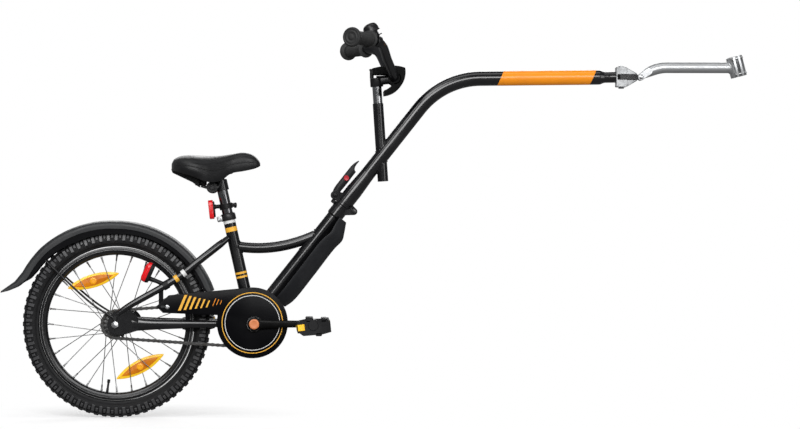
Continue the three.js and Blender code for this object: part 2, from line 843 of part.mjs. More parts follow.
// Latch: a curved lever that turns in the ears, with a button in its drive-side face
function latchLever() {
  const eye = pinAt(latchAxis, latchEyeRadius, -leverWidth / 2, leverWidth / 2, manySides);
  const back = -leverThickness / 2 - latchEyeRadius / 2;
  const front = leverThickness / 2 - latchEyeRadius / 2;
  const tipLevel = (back * 2 + front) / 3;
  const shape = new THREE.Shape();
  shape.moveTo(0, -latchEyeRadius);
  shape.quadraticCurveTo(latchEyeRadius, back, latchEyeRadius * 3, back);
  shape.lineTo(leverLength, back);
  shape.quadraticCurveTo((leverLength + leverTip) / 2, back, leverTip, tipLevel);
  shape.lineTo(leverTip, tipLevel + leverTipThickness);
  shape.quadraticCurveTo(leverLength, tipLevel, leverLength, front);
  shape.lineTo(latchEyeRadius * 2, front);
  shape.lineTo(0, latchEyeRadius);
  shape.closePath();
  const arm = plate(latchAxis, barUp, shape, -leverWidth / 2, leverWidth / 2);
  const pin = rivet(latchAxis, pitchPinDiameter / 2, leverWidth / 2 + latchEarThickness + 2 * clearance,
    latchEyeRadius * 0.7, rivetHeadHeight);
  const pocket = pinAt(latchButtonCentre, latchButtonDiameter / 2 + clearance,
    -leverWidth / 2 - overrun, -leverWidth / 2 + latchButtonDepth + latchButtonStand);
  return cut(joined(eye, arm, pin), pocket);
}

const latchButtonCentre = from(latchAxis, barUp, latchButtonAt, -latchEyeRadius / 2);
place('latch_lever', latchLever(), '#1b1b1d', 0.45, 0.2);
place('latch_button', pinAt(latchButtonCentre, latchButtonDiameter / 2, -leverWidth / 2 - latchButtonStand,
  -leverWidth / 2 + latchButtonDepth - clearance), '#c3102a', 0.4, 0);

// Stem: quill, head and the clamp round the handlebar
function stem() {
  const quill = rod(from(headTop, headUp, -quillInsertion), stemCentre, quillDiameter / 2, manySides);
  const head = rod(from(stemCentre, headUp, -stemHeadBottom), from(stemCentre, headUp, stemHeadTop),
    stemHeadDiameter / 2, manySides);
  const arm = block(stemCentre, forward, [0, stemReach], [-stemPlateHeight / 2, stemPlateHeight / 2],
    [-stemPlateWidth / 2, stemPlateWidth / 2]);
  const clampRadius = barDiameter / 2 + barClampWall;
  const clamp = pinAt(barCentre, clampRadius, -barClampWidth / 2, barClampWidth / 2, manySides);
  return cut(joined(quill, head, arm, clamp), pinHole(barCentre, barDiameter / 2 + clearance, manySides));
}

place('stem', stem(), '#17171a', 0.3, 0.5);

// Handlebar: level in the clamp, rising outwards, then swept back into the grips
const gripCourse = (sign) => {
  const sweepBack = radians(gripSweep);
  return new THREE.Vector3(-Math.sin(sweepBack), sign * Math.cos(sweepBack), 0);
};
const gripStart = (sign) => (
  barCentre.clone().add(new THREE.Vector3(-barBendBack, sign * barBendOut, barGripRise))
);

function barPoints(sign) {
  const start = gripStart(sign);
  return [
    barCentre.clone().add(point(0, 0, sign * (barClampWidth / 2))),
    barCentre.clone().add(point(0, 0, sign * barFlat)),
    barCentre.clone().add(point(-barSetback / 2, barRise / 2, sign * (barFlat + barRiseOut) / 2)),
    barCentre.clone().add(point(-barSetback, barRise, sign * barRiseOut)),
    start,
    start.clone().addScaledVector(gripCourse(sign), gripLength / 2),
    start.clone().addScaledVector(gripCourse(sign), gripLength),
  ];
}

const barCurve = new THREE.CatmullRomCurve3([...barPoints(-1).reverse(), ...barPoints(1)], false, 'centripetal');
const handlebar = sweep(barCurve, disc(barDiameter / 2, someSides), fineSteps);
const handlebarRoom = sweep(barCurve, disc(barDiameter / 2 + 2 * clearance, someSides), fineSteps);
place('handlebar', handlebar, '#151517', 0.3, 0.5);

function grip(sign) {
  const start = gripStart(sign).addScaledVector(gripCourse(sign), gripFlangeThickness);
  const along = (distance) => start.clone().addScaledVector(gripCourse(sign), distance);
  const length = gripLength + clearance;
  const flange = rod(along(0), along(gripFlangeThickness), gripFlangeDiameter / 2, manySides);
  const sleeve = rod(along(0), along(length), gripDiameter / 2, manySides);
  const end = rod(along(length - gripFlangeThickness), along(length + gripEndThickness),
    gripEndDiameter / 2, manySides);
  return cut(joined(flange, sleeve, end), handlebarRoom);
}

sides.forEach(([side, sign]) => place(`grip_${side}`, grip(sign), '#1c1c1e', 0.85, 0));

// Padded shield round the front of the bar clamp: thin over the clamp, thick beside it, with sleeves on the bar
function handlebarPad() {
  const centre = from(barCentre, forward, -padSetback, -padLift);
  const inner = padRadius - padThickness;
  const [start, end] = [radians(-padTopAngle), radians(padBottomAngle)];
  const innerStart = -Math.asin(padTopUnder / inner);
  const shape = new THREE.Shape();
  shape.moveTo(-padTopBack, -padTopUnder);
  shape.lineTo(-padTopBack, -padTopRise);
  shape.quadraticCurveTo(padTopBack, -padCrown, padRadius * Math.cos(start), padRadius * Math.sin(start));
  shape.absarc(0, 0, padRadius, start, end, false);
  shape.absarc(0, 0, inner, end, innerStart, true);
  shape.closePath();
  const half = padWidth / 2;
  const ring = plate(centre, forward, shape, -half, half);
  const sleeveStart = barClampWidth / 2 + clearance;
  const cheekInner = padRadius - padCheek;
  const cheek = new THREE.Shape();
  cheek.moveTo(-padTopBack, padCheekDrop);
  cheek.lineTo(-padTopBack, -padTopRise);
  cheek.quadraticCurveTo(padTopBack, -padCrown, padRadius * Math.cos(start), padRadius * Math.sin(start));
  cheek.absarc(0, 0, padRadius, start, end, false);
  cheek.absarc(0, 0, cheekInner, end, Math.asin(padCheekDrop / cheekInner), true);
  cheek.closePath();
  const parts = sides.flatMap(([, sign]) => {
    const faces = [sign * sleeveStart, sign * half].sort((a, b) => a - b);
    const sleeve = pinAt(barCentre, barDiameter / 2 + padSleeveWall, ...faces, manySides);
    return [sleeve, plate(centre, forward, cheek, ...faces)];
  });
  return cut(joined(ring, ...parts), handlebarRoom);
}

place('handlebar_pad', handlebarPad(), '#18181a', 0.8, 0);

// Bell on the right of the bar, with a striker that pivots on its base
const bellSeat = barCurve.getPointAt(bellShare);
const bellUp = heading(90 + bellTilt);
const bellFoot = bellSeat.clone().addScaledVector(bellUp, barDiameter / 2 + bellStand);

function bell() {
  const level = (height) => bellFoot.clone().addScaledVector(bellUp, height);
  const edge = bellDiameter / 2;
  const dome = tube([level(0), level(bellHeight * 0.65), level(bellHeight)], [edge, edge, edge * 0.6], manySides);
  const post = rod(bellSeat, bellFoot.clone().addScaledVector(bellUp, clearance), bellBaseDiameter / 2);
  const tangent = barCurve.getTangentAt(bellShare).multiplyScalar(bellClampWidth / 2);
  const clampRadius = barDiameter / 2 + bellClampWall;
  const ring = rod(bellSeat.clone().sub(tangent), bellSeat.clone().add(tangent), clampRadius, manySides);
  return cut(joined(dome, post, ring), handlebarRoom, strikerRoom);
}

const strikerLow = bellFoot.clone().addScaledVector(bellUp, -bellStand / 2);
const strikerAxis = strikerLow.clone().addScaledVector(forward, bellBaseDiameter / 2);
const strikerBox = (grow) => joined(
  block(strikerAxis, bellUp, [-strikerThickness / 2 - grow, strikerThickness / 2 + grow],
    [-strikerWidth - grow, strikerLength - bellBaseDiameter / 2 + grow], [-strikerWidth / 2 - grow, strikerWidth / 2 + grow]),
);
const strikerRoom = strikerBox(2 * strikerThickness / 3);
place('bell', bell(), '#1a1a1c', 0.3, 0.4);
place('bell_striker', strikerBox(0), '#232325', 0.4, 0.4);

// Down tube with its half of the coupling
const seatTubeRoom = rod(seatRoot, from(seatTubeTop, seatUp, overrun), seatTubeDiameter / 2 + clearance, manySides);
const shellRoom = pinAt(bracket, shellDiameter / 2 + clearance, -shellWidth / 2 - overrun,
  shellWidth / 2 + overrun, manySides);

function downTube() {
  const end = from(coupling, barUp, -downTubeLength + shellDiameter / 4);
  const outer = rod(end, coupling, downTubeDiameter / 2, manySides);
  const hollow = bore(end, coupling, downTubeDiameter / 2 - downTubeWall, manySides);
  const foot = rod(from(coupling, barUp, -couplingFoot), coupling, couplingDiameter / 2, manySides);
  const earInner = hingeLugWidth / 2;
  const root = from(coupling, barUp, -hingeRootLength / 2, couplingDiameter / 2 - 2 * downTubeWall);
  const ears = sides.map(([, sign]) => {
    const faces = [sign * earInner, sign * (earInner + hingeEarThickness)].sort((a, b) => a - b);
    return link(hingeAxis, root, hingeEyeRadius, 2 * downTubeWall, ...faces);
  });
  const gap = latchRise - latchEyeRadius - clearance;
  const bossTop = Math.min(gap, 0);
  const boss = block(coupling, barUp, [bossTop - latchBossLength, bossTop],
    [-couplingDiameter / 2 - latchBossDepth, 0], [-leverWidth / 2, leverWidth / 2]);
  const body = joined(cut(joined(outer, foot, boss), hollow), ...ears);
  return cut(body, pinHole(hingeAxis, hingePinDiameter / 2 + clearance), shellRoom, seatTubeRoom);
}

place('down_tube', downTube(), '#161618', 0.25, 0.5);
place('hinge_pin', rivet(hingeAxis, hingePinDiameter / 2, hingeLugWidth / 2 + hingeEarThickness + clearance,
  hingeEyeRadius * 0.7, hingePinHead), '#8f9193', 0.35, 1);

// Seat tube with the bottom bracket shell, and the top tube
function seatTube() {
  const outer = rod(seatRoot, seatTubeTop, seatTubeDiameter / 2, manySides);
  const shell = pinAt(bracket, shellDiameter / 2, -shellWidth / 2, shellWidth / 2, manySides);
  const tubeBore = rod(seatRoot, from(seatTubeTop, seatUp, overrun),
    (seatPostDiameter / 2 + clearance) / Math.cos(Math.PI / manySides), manySides);
  return cut(joined(outer, shell), tubeBore, pinHole(bracket, shellDiameter / 2 - shellWall, manySides));
}

function topTube() {
  const start = from(seatRoot, seatUp, topTubeAt);
  const end = from(coupling, barUp, -topTubeEnd);
  const middle = start.clone().lerp(end, 1 / 2).addScaledVector(upright, -topTubeSag);
  const curve = new THREE.QuadraticBezierCurve3(start, middle, end);
  const outer = sweep(curve, disc(topTubeDiameter / 2, someSides), fewSteps);
  const hollow = sweep(curve, disc(topTubeDiameter / 2 - topTubeWall, someSides), fewSteps);
  const downRoom = rod(from(coupling, barUp, -downTubeLength), from(coupling, barUp, overrun),
    downTubeDiameter / 2 + clearance, manySides);
  return cut(outer, hollow, downRoom, seatTubeRoom);
}

place('seat_tube', seatTube(), '#161618', 0.25, 0.5);
place('top_tube', topTube(), '#161618', 0.25, 0.5);

// Seat stays bow out round the mudguard, with a bridge in front of it
const dropoutSide = dropoutSpacing / 2 + dropoutThickness / 2;
const dropoutPoint = (x, z, sign) => point(rearAxle.x + x, rearAxle.z + z, sign * dropoutSide);

function seatStayCurve(sign) {
  const top = from(seatRoot, seatUp, seatStayAt, 0, sign * seatStayRoot);
  const elbow = bracket.clone().add(point(-seatStayElbowBack, seatStayElbowRise, sign * seatStayElbow));
  const bow = top.clone().lerp(elbow, seatStayBowShare);
  bow.y = sign * seatStayBow;
  const end = dropoutPoint(seatStayFootAhead, seatStayFootRise, sign);
  const below = dropoutPoint(seatStayToeAhead, seatStayToeRise, sign);
  return new THREE.CatmullRomCurve3([top, bow, elbow, end, below], false, 'centripetal');
}

const stayCurves = new Map(sides.map(([side, sign]) => [side, seatStayCurve(sign)]));
const stayRoom = (side) => sweep(stayCurves.get(side), disc(seatStayDiameter / 2 + clearance, someSides), someSteps);

function seatStay(side, sign) {
  const outer = sweep(stayCurves.get(side), disc(seatStayDiameter / 2, someSides), someSteps);
  const foot = point(rearAxle.x, rearAxle.z + dropoutTop + clearance);
  const below = block(foot, forward, [-overrun * 3, overrun * 3], [0, overrun * 3],
    [sign > 0 ? 0 : -overrun * 3, sign > 0 ? overrun * 3 : 0]);
  if (sign < 0) return cut(outer, below, seatTubeRoom);
  const bridge = pinAt(bridgeCentre, bridgeDiameter / 2, -seatStayElbow, bridgeHigh);
  return cut(joined(outer, bridge), below, seatTubeRoom, stayRoom('right'), rightOfStay);
}

// The bridge lies where the stays come closest to just outside the mudguard
const bridgeReach = mudguardRadius + clearance + bridgeDiameter / 2;
const bridgeSamples = Array.from({ length: bridgeSteps }, (_, i) => stayCurves.get('left').getPoint(i / bridgeSteps));
const bridgeDistance = (p) => Math.hypot(p.x - rearAxle.x, p.z - rearAxle.z);
const bridgePlace = bridgeSamples.find((p) => bridgeDistance(p) < bridgeReach);
const bridgeHeading = point(bridgePlace.x - rearAxle.x, bridgePlace.z - rearAxle.z).normalize();
const bridgeCentre = rearAxle.clone().addScaledVector(bridgeHeading, bridgeReach);
const bridgeHigh = bridgePlace.y;
const rightOfStay = pinAt(bridgeCentre, bridgeDiameter, -overrun * 3, -bridgePlace.y, fewSides);

sides.forEach(([side, sign]) => place(`seat_stay_${side}`, seatStay(side, sign), '#161618', 0.25, 0.5));

// Chain stays taper forward from the dropouts to the bottom bracket shell
function chainStay(sign) {
  const ringOf = (centre, height) => Array.from({ length: someSides }, (_, i) => {
    const turn = (2 * Math.PI * i) / someSides;
    const [y, z] = [(chainStayWidth / 2) * Math.cos(turn), (height / 2) * Math.sin(turn)];
    return centre.clone().add(point(0, z, y));
  });
  const root = point(bracket.x, bracket.z, sign * chainStayRoot);
  const end = dropoutPoint(dropoutFront / 2, 0, sign);
  const stay = loft([ringOf(root, chainStayFrontHeight), ringOf(end, chainStayRearHeight)]);
  const shape = outline([[-dropoutBack, 0], [-dropoutBack * 0.7, -dropoutTop * 0.55], [dropoutFront * 0.12, -dropoutTop],
    [dropoutFront * 0.6, -dropoutTop], [dropoutFront, -chainStayRearHeight / 2],
    [dropoutFront, chainStayRearHeight / 2], [dropoutFront * 0.5, dropoutBottom],
    [0, dropoutBottom], [-dropoutBack * 0.7, dropoutBottom * 0.7]]);
  const inner = sign * (dropoutSpacing / 2);
  const faces = [inner, inner + sign * dropoutThickness].sort((a, b) => a - b);
  const dropout = plate(rearAxle, forward, shape, ...faces);
  const axleHole = pinHole(rearAxle, axleDiameter / 2 + clearance);
  const inside = block(rearAxle, forward, [-overrun, dropoutFront - chainStayWidth], [-overrun, overrun],
    [-Math.abs(inner) + clearance, Math.abs(inner) - clearance]);
  return cut(joined(cut(stay, inside), dropout), axleHole, shellRoom);
}

sides.forEach(([side, sign]) => place(`chainstay_${side}`, chainStay(sign), '#161618', 0.25, 0.5));

// Bottom bracket unit inside the shell, and the rear axle with its nuts and spacers
function bracketUnit() {
  const radius = shellDiameter / 2 - shellWall - clearance;
  const half = shellWidth / 2 - clearance;
  const unit = pinAt(bracket, radius, -half, half, manySides);
  return cut(unit, pinHole(bracket, spindleDiameter / 2 + clearance));
}

function rearAxleSet() {
  const outer = dropoutSpacing / 2 + dropoutThickness + clearance;
  const tip = outer + axleNutThickness + axleTip;
  const parts = sides.flatMap(([, sign]) => {
    const nut = [sign * outer, sign * (outer + axleNutThickness)].sort((a, b) => a - b);
    const hubEnd = hubBossLength / 2 + clearance;
    const spacer = [sign * hubEnd, sign * (dropoutSpacing / 2 - clearance)].sort((a, b) => a - b);
    return [pinAt(rearAxle, axleNutDiameter / 2, ...nut, 6), pinAt(rearAxle, axleSpacerDiameter / 2, ...spacer)];
  });
  return joined(pinAt(rearAxle, axleDiameter / 2, -tip, tip), ...parts);
}

place('bottom_bracket_unit', bracketUnit(), '#6f7173', 0.4, 0.9);
place('rear_axle', rearAxleSet(), '#9c9ea0', 0.35, 1);

// Wheel: tyre open towards the rim, rim, hub, and one set of spokes with its flange on each side
function tyre() {
  const outer = wheelDiameter / 2;
  const bead = rimDiameter / 2 + clearance;
  const height = outer - bead;
  const half = tyreWidth / 2;
  const foot = rimWidth / 2;
  const right = [[bead, foot], [bead + 0.3 * height, 0.95 * half], [bead + 0.5 * height, half],
    [bead + 0.77 * height, 0.86 * half], [outer, 0.4 * half]];
  const inner = [[outer - 1.6 * tyreWall, 0.4 * half], [bead + 0.5 * height, half - tyreWall],
    [bead, foot - tyreWall]];
  const mirrored = (rows) => rows.map(([radius, y]) => [radius, -y]);
  const profile = [...right, ...mirrored(right).reverse(), ...mirrored(inner).reverse(), ...inner];
  return turned(rearAxle, profile, wheelSides);
}

function rim() {
  const outer = rimDiameter / 2;
  const inner = outer - rimDepth;
  const half = rimWidth / 2;
  const right = [[inner, half * 0.5], [inner + rimDepth * 0.25, half * 0.9], [outer, half],
    [outer, half - rimWall * 0.8], [outer - rimWell, half - rimWall]];
  const left = right.map(([radius, y]) => [radius, -y]).reverse();
  return turned(rearAxle, [...right, ...left], wheelSides);
}

function hubShell() {
  const half = hubLength / 2;
  const boss = hubBossLength / 2;
  const shell = pinAt(rearAxle, hubDiameter / 2, -half, half, manySides);
  const ends = pinAt(rearAxle, hubBossDiameter / 2, -boss, boss, manySides);
  return cut(joined(shell, ends), pinHole(rearAxle, axleDiameter / 2 + clearance));
}

function spokes(sign) {
  const middle = sign * (hubLength / 2 - flangeWall);
  const faces = [middle - flangeWall / 2, middle + flangeWall / 2];
  const ring = cut(pinAt(rearAxle, flangeDiameter / 2, ...faces, manySides),
    pinHole(rearAxle, hubDiameter / 2 + clearance, manySides));
  const start = flangeDiameter / 2 - 1.2 * spokeDiameter;
  const end = rimDiameter / 2 - rimDepth - clearance - spokeDiameter / 2;
  const wires = Array.from({ length: spokesPerSide }, (_, i) => {
    const turn = (360 * (i + (sign > 0 ? 0.5 : 0))) / spokesPerSide;
    const lead = i % 2 ? spokeCross : -spokeCross;
    const hubPoint = rearAxle.clone().addScaledVector(heading(turn), start);
    const rimPoint = rearAxle.clone().addScaledVector(heading(turn + lead), end);
    hubPoint.y = middle;
    rimPoint.y = sign * spokeDiameter;
    return rod(hubPoint, rimPoint, spokeDiameter / 2, 4);
  });
  return joined(ring, ...wires);
}

// Boat-shaped reflector clipped between the spokes on one side of the wheel
function wheelReflector(angle, turn) {
  const centre = rearAxle.clone().addScaledVector(heading(angle), reflectorRadius);
  const [half, wide] = [reflectorLength / 2, reflectorWidth];
  const shape = new THREE.Shape();
  shape.moveTo(0, -half);
  shape.quadraticCurveTo(wide, 0, 0, half);
  shape.quadraticCurveTo(-wide, 0, 0, -half);
  return plate(centre, heading(angle + turn), shape, -reflectorThickness / 2, reflectorThickness / 2);
}

const spokeSets = new Map(sides.map(([side, sign]) => [side, spokes(sign)]));
place('tyre', tyre(), '#1d1d1e', 0.9, 0);
place('rim', rim(), '#1a1a1b', 0.35, 0.6);
place('hub_shell', hubShell(), '#2a2a2c', 0.4, 0.8);
sides.forEach(([side]) => place(`spokes_${side}`, spokeSets.get(side), '#55575a', 0.35, 0.9));
const reflectors = [
  ['upper', reflectorAngle, upperReflectorTurn],
  ['lower', reflectorAngle + 180, lowerReflectorTurn],
];
reflectors.forEach(([name, angle, turn]) => {
  const body = cut(wheelReflector(angle, turn), spokeSets.get('right'), spokeSets.get('left'));
  place(`wheel_reflector_${name}`, body, '#f39a1c', 0.3, 0);
});

// Toothed discs and the chain that runs round them
function toothed(centre, teeth, radius, bodies, holes) {
  const tip = radius + toothHeight;
  const root = radius - toothHeight;
  const corners = Array.from({ length: teeth }, (_, i) => {
    const turn = (2 * Math.PI * i) / teeth;
    const step = (2 * Math.PI) / teeth;
    return [[root, turn], [tip, turn + step * 0.35], [tip, turn + step * 0.6]];
  }).flat();
  const shape = outline(corners.map(([size, turn]) => [size * Math.cos(turn), size * Math.sin(turn)]));
  const low = -chainLine - sprocketThickness / 2;
  const wheel = plate(centre, forward, shape, low, low + sprocketThickness);
  return cut(joined(wheel, ...bodies), ...holes);
}

function chain() {
  const reach = bracket.clone().sub(rearAxle);
  const length = reach.length();
  const direction = reach.normalize();
  const open = Math.acos((sprocketRadius - ringRadius) / length);
  const loop = (grow) => {
    const shape = new THREE.Shape();
    shape.absarc(0, 0, sprocketRadius + grow, open, 2 * Math.PI - open, false);
    shape.absarc(length, 0, ringRadius + grow, -open, open, false);
    shape.closePath();
    return shape;
  };
  const half = chainPlateHeight / 2;
  const slab = (grow, width) => (
    plate(rearAxle, direction, loop(grow), -chainLine - width / 2, -chainLine + width / 2, chainSides)
  );
  return cut(slab(half, chainWidth), slab(half - chainWeb, chainInside), slab(-half, 2 * chainWidth));
}

const freewheelHalf = freewheelWidth / 2;
const freewheel = pinAt(rearAxle, freewheelDiameter / 2, -chainLine - freewheelHalf / 2,
  -chainLine + freewheelHalf, manySides);
place('sprocket', toothed(rearAxle, sprocketTeeth, sprocketRadius, [freewheel],
  [pinHole(rearAxle, hubBossDiameter / 2 + clearance, manySides)]), '#8b8d90', 0.4, 0.9);
place('chain', chain(), '#77797c', 0.4, 0.9);

// Crank axle, chain ring, cranks with their pedal axles, dust cap and pedals
const guardInner = guardOuter - guardThickness;
const ringBoss = pinAt(bracket, ringBossDiameter / 2, -rightCrankStand + clearance, -chainLine, manySides);
const spindleHole = pinHole(bracket, spindleDiameter / 2 + clearance);
place('crank_axle', pinAt(bracket, spindleDiameter / 2, -rightCrankStand - crankThickness / 2,
  leftCrankStand + crankThickness / 2), '#8f9194', 0.35, 1);
place('chainring', toothed(bracket, ringTeeth, ringRadius, [ringBoss], [spindleHole]), '#3a3b3d', 0.4, 0.8);

function crank(sign, stand) {
  const eye = from(bracket, forward, -sign * crankLength);
  const faces = [sign * stand, sign * (stand + crankThickness)].sort((a, b) => a - b);
  const arm = joined(
    pinAt(bracket, crankBossDiameter / 2, ...faces, manySides),
    link(bracket, eye, crankArmHeight / 2, crankEndDiameter / 2, ...faces),
  );
  const axleEnd = sign * (stand + crankThickness + pedalGap + pedalWidth - pedalTip);
  const axle = [sign * (stand + crankThickness / 2), axleEnd].sort((a, b) => a - b);
  const socketEnd = sign * (stand + crankThickness / 2 + clearance);
  const socket = [sign * stand - sign * overrun, socketEnd].sort((a, b) => a - b);
  const socketHole = pinAt(bracket, (spindleDiameter / 2 + clearance) / Math.cos(Math.PI / someSides), ...socket);
  return cut(joined(arm, pinAt(eye, pedalAxleDiameter / 2, ...axle)), socketHole);
}

function pedal(sign, stand) {
  const eye = from(bracket, forward, -sign * crankLength);
  const start = stand + crankThickness + pedalGap;
  const end = start + pedalWidth;
  const faces = (low, high) => [sign * low, sign * high].sort((a, b) => a - b);
  const half = pedalLength / 2;
  const level = [-pedalHeight / 2, pedalHeight / 2];
  const pedalCourse = heading(pedalTilt);
  const frame = block(eye, pedalCourse, [-half, half], level, faces(start, end));
  const windows = [-1, 1].map((way) => {
    const span = [way * pedalBarrelDiameter / 2, way * (half - pedalRail)].sort((a, b) => a - b);
    return block(eye, pedalCourse, span, [-overrun, overrun], faces(start + pedalRail, end - pedalRail));
  });
  const hole = pinAt(eye, (pedalAxleDiameter / 2 + clearance) / Math.cos(Math.PI / someSides),
    ...faces(start - overrun, end - pedalTip + clearance));
  const chamfers = [-1, 1].flatMap((way) => [-1, 1].map((rise) => (
    block(from(eye, pedalCourse, way * half, rise * pedalHeight / 2), heading(45 + pedalTilt),
      [-pedalRail / 3, pedalRail / 3], [-pedalRail / 3, pedalRail / 3], faces(start - overrun, end + overrun))
  )));
  const barrel = pinAt(eye, pedalBarrelDiameter / 2, ...faces(start, end - pedalTip), manySides);
  return cut(joined(cut(frame, ...windows, ...chamfers), barrel), hole);
}

place('crank_right', crank(-1, rightCrankStand), '#17171a', 0.35, 0.6);
place('crank_left', crank(1, leftCrankStand), '#17171a', 0.35, 0.6);
const capFace = rightCrankStand + crankThickness + clearance;
place('crank_cap', pinAt(bracket, crankCapDiameter / 2, -capFace - crankCapHeight, -capFace, manySides),
  '#f08a55', 0.5, 0);
place('pedal_right', pedal(-1, rightCrankStand), '#2b2b2e', 0.8, 0);
place('pedal_left', pedal(1, leftCrankStand), '#2b2b2e', 0.8, 0);

// Chain guard: a tray whose disc covers the chain ring and whose tail follows the upper run of the chain
function guardShape(inset) {
  const centre = [-guardSetback, -guardRise];
  const radius = guardRadius - inset;
  const tailTop = [-guardTailTop + inset, -guardTailTopRise + inset];
  const tip = [-guardTipBack + 2 * inset, -guardTipRise];
  const tailBottom = [-guardTailBottom + inset, -guardTailBottomRise - inset];
  const reach = Math.hypot(tailTop[0] - centre[0], tailTop[1] - centre[1]);
  const toTail = Math.atan2(tailTop[1] - centre[1], tailTop[0] - centre[0]);
  const tangent = toTail + Math.acos(radius / reach);
  const meeting = Math.PI - Math.asin((guardTailBottomRise * 0.7 + inset) / radius);
  const shape = new THREE.Shape();
  shape.moveTo(...tip);
  shape.lineTo(...tailTop);
  shape.absarc(...centre, radius, tangent, 2 * Math.PI - meeting - 2 * Math.PI, false);
  shape.lineTo(...tailBottom);
  shape.closePath();
  return shape;
}

function chainGuard() {
  const lipInner = -guardOuter + guardThickness + guardLip;
  const whole = plate(bracket, forward, guardShape(0), -guardOuter, lipInner);
  const hollow = plate(bracket, forward, guardShape(guardThickness), -guardInner, lipInner + overrun);
  const hole = pinHole(bracket, guardHole / 2 + clearance, manySides);
  const tab = block(bracket, forward, [-guardTabBack, -guardTabBack + guardTabWidth],
    [-guardTailTopRise - guardTabReach, -guardTipRise], [-guardInner, lipInner]);
  const aboveStay = stayCeiling();
  return cut(joined(cut(whole, hollow), tab), hole, stayRoom('right'), aboveStay);
}

// Everything above the middle line of the right seat stay, over the tab of the guard
function stayCeiling() {
  const samples = stayCurves.get('right').getSpacedPoints(40);
  const near = samples.filter((p) => p.x < bracket.x - guardTabBack + 3 * guardTabWidth);
  const line = near.map((p) => [p.x, -p.z]);
  const top = line.map(([x, z]) => [x, z - overrun * 2]).reverse();
  return plate(point(0, 0), forward, outline([...line, ...top]), -overrun * 3, 0);
}

place('chain_guard', chainGuard(), '#121214', 0.3, 0.1);

// Mudguard: a channel that follows the tyre and moves away from it towards the rear, ending in a flap
const mudguardAt = (angle, inset = 0) => {
  const share = THREE.MathUtils.clamp((angle - 90) / (mudguardGrowthEnd - 90), 0, 1);
  return rearAxle.clone().addScaledVector(heading(angle), mudguardRadius + mudguardGrowth * share - inset);
};

function mudguard() {
  const half = mudguardWidth / 2;
  const wall = mudguardWall;
  const ringAt = (station, course, skirt) => {
    const outer = [[-half, -skirt], [-half, -mudguardCrown], [-half + mudguardShoulder, 0],
      [half - mudguardShoulder, 0], [half, -mudguardCrown], [half, -skirt]];
    const inner = [[half - wall, -skirt], [half - wall, -mudguardCrown - wall / 2],
      [half - mudguardShoulder - wall / 2, -wall], [-half + mudguardShoulder + wall / 2, -wall],
      [-half + wall, -mudguardCrown - wall / 2], [-half + wall, -skirt]];
    return [...outer, ...inner].map(([y, height]) => from(station, course, 0, height, y));
  };
  const rings = Array.from({ length: mudguardSteps + 1 }, (_, i) => {
    const angle = mudguardFront + ((mudguardRear - mudguardFront) * i) / mudguardSteps;
    return ringAt(mudguardAt(angle), heading(angle + 90), mudguardSkirt);
  });
  const knee = from(mudguardAt(mudguardRear), heading(flapStartAngle), flapStart);
  const bend = heading((flapStartAngle + flapAngle) / 2);
  rings.push(ringAt(knee, bend, mudguardSkirt));
  rings.push(ringAt(from(knee, heading(flapAngle), flapLength), heading(flapAngle), flapDepth));
  return loft(rings);
}

// One wire from the axle up one side, across under the crown of the mudguard and down the other side
function mudguardStay() {
  const radius = stayWireDiameter / 2;
  const out = heading(stayWireAngle);
  const under = mudguardWall + clearance + radius;
  const side = mudguardWidth / 2 - mudguardWall - clearance - radius;
  const at = (inset, y) => mudguardAt(stayWireAngle, inset).addScaledVector(lateral, y);
  const half = (sign) => [
    point(rearAxle.x, rearAxle.z + stayEyeRise, sign * stayWireStand),
    rearAxle.clone().addScaledVector(out, wheelDiameter / 6).addScaledVector(lateral, sign * stayWireStand * 0.86),
    at(mudguardSkirt + stayWireDiameter, sign * side),
    at(under + mudguardCrown, sign * side * 0.85),
    at(under + mudguardCrown / 3, sign * side * 0.4),
  ];
  const points = [...half(-1), ...half(1).reverse()];
  const wire = sweep(new THREE.CatmullRomCurve3(points, false, 'centripetal'), disc(radius, 6), mudguardSteps);
  const eyes = sides.map(([, sign]) => {
    const inner = dropoutSpacing / 2 + dropoutThickness + clearance;
    const faces = [sign * inner, sign * (stayWireStand + radius)].sort((a, b) => a - b);
    return pinAt(point(rearAxle.x, rearAxle.z + stayEyeRise), stayWireDiameter * 0.9, ...faces);
  });
  return joined(wire, ...eyes);
}

place('mudguard', mudguard(), '#3a3a3c', 0.6, 0);
place('mudguard_stay', mudguardStay(), '#1f1f21', 0.4, 0.6);

// Rear lamp on the right seat stay
const lampUp = heading(90 - lampLean);
const lampStay = stayCurves.get('right').getPointAt(lampStayShare);
const lampCentre = point(lampStay.x - lampSetback, lampStay.z + lampRise, -lampSide);

function lampHousing() {
  const half = lampHeight / 2;
  const front = lampDepth - lensDepth;
  const box = block(lampCentre, lampUp, [-half, half], [0, front],
    [-lampWidth / 2, lampWidth / 2]);
  const tangent = stayCurves.get('right').getTangentAt(lampStayShare).multiplyScalar(lampRingWidth / 2);
  const ringRadius = seatStayDiameter / 2 + lampRingWall;
  const ring = rod(lampStay.clone().sub(tangent), lampStay.clone().add(tangent), ringRadius, manySides);
  const start = from(lampCentre, lampUp, -half / 2, front / 2);
  const strut = rod(start, lampStay, lampStrutHeight / 2, fewSides);
  return cut(joined(box, ring, strut), stayRoom('right'));
}

function lampLens() {
  const half = lampHeight / 2;
  const bulge = lensDepth + clearance;
  const shape = outline([[-half, -clearance], [half, -clearance], [half * 0.9, -bulge * 0.6],
    [half * 0.2, -bulge], [-half * 0.75, -bulge * 0.9], [-half, -bulge * 0.5]]);
  return plate(lampCentre, lampUp, shape, -lampWidth / 2, lampWidth / 2);
}

place('lamp_housing', lampHousing(), '#1a1a1c', 0.4, 0);
place('lamp_lens', lampLens(), '#b8121c', 0.2, 0);

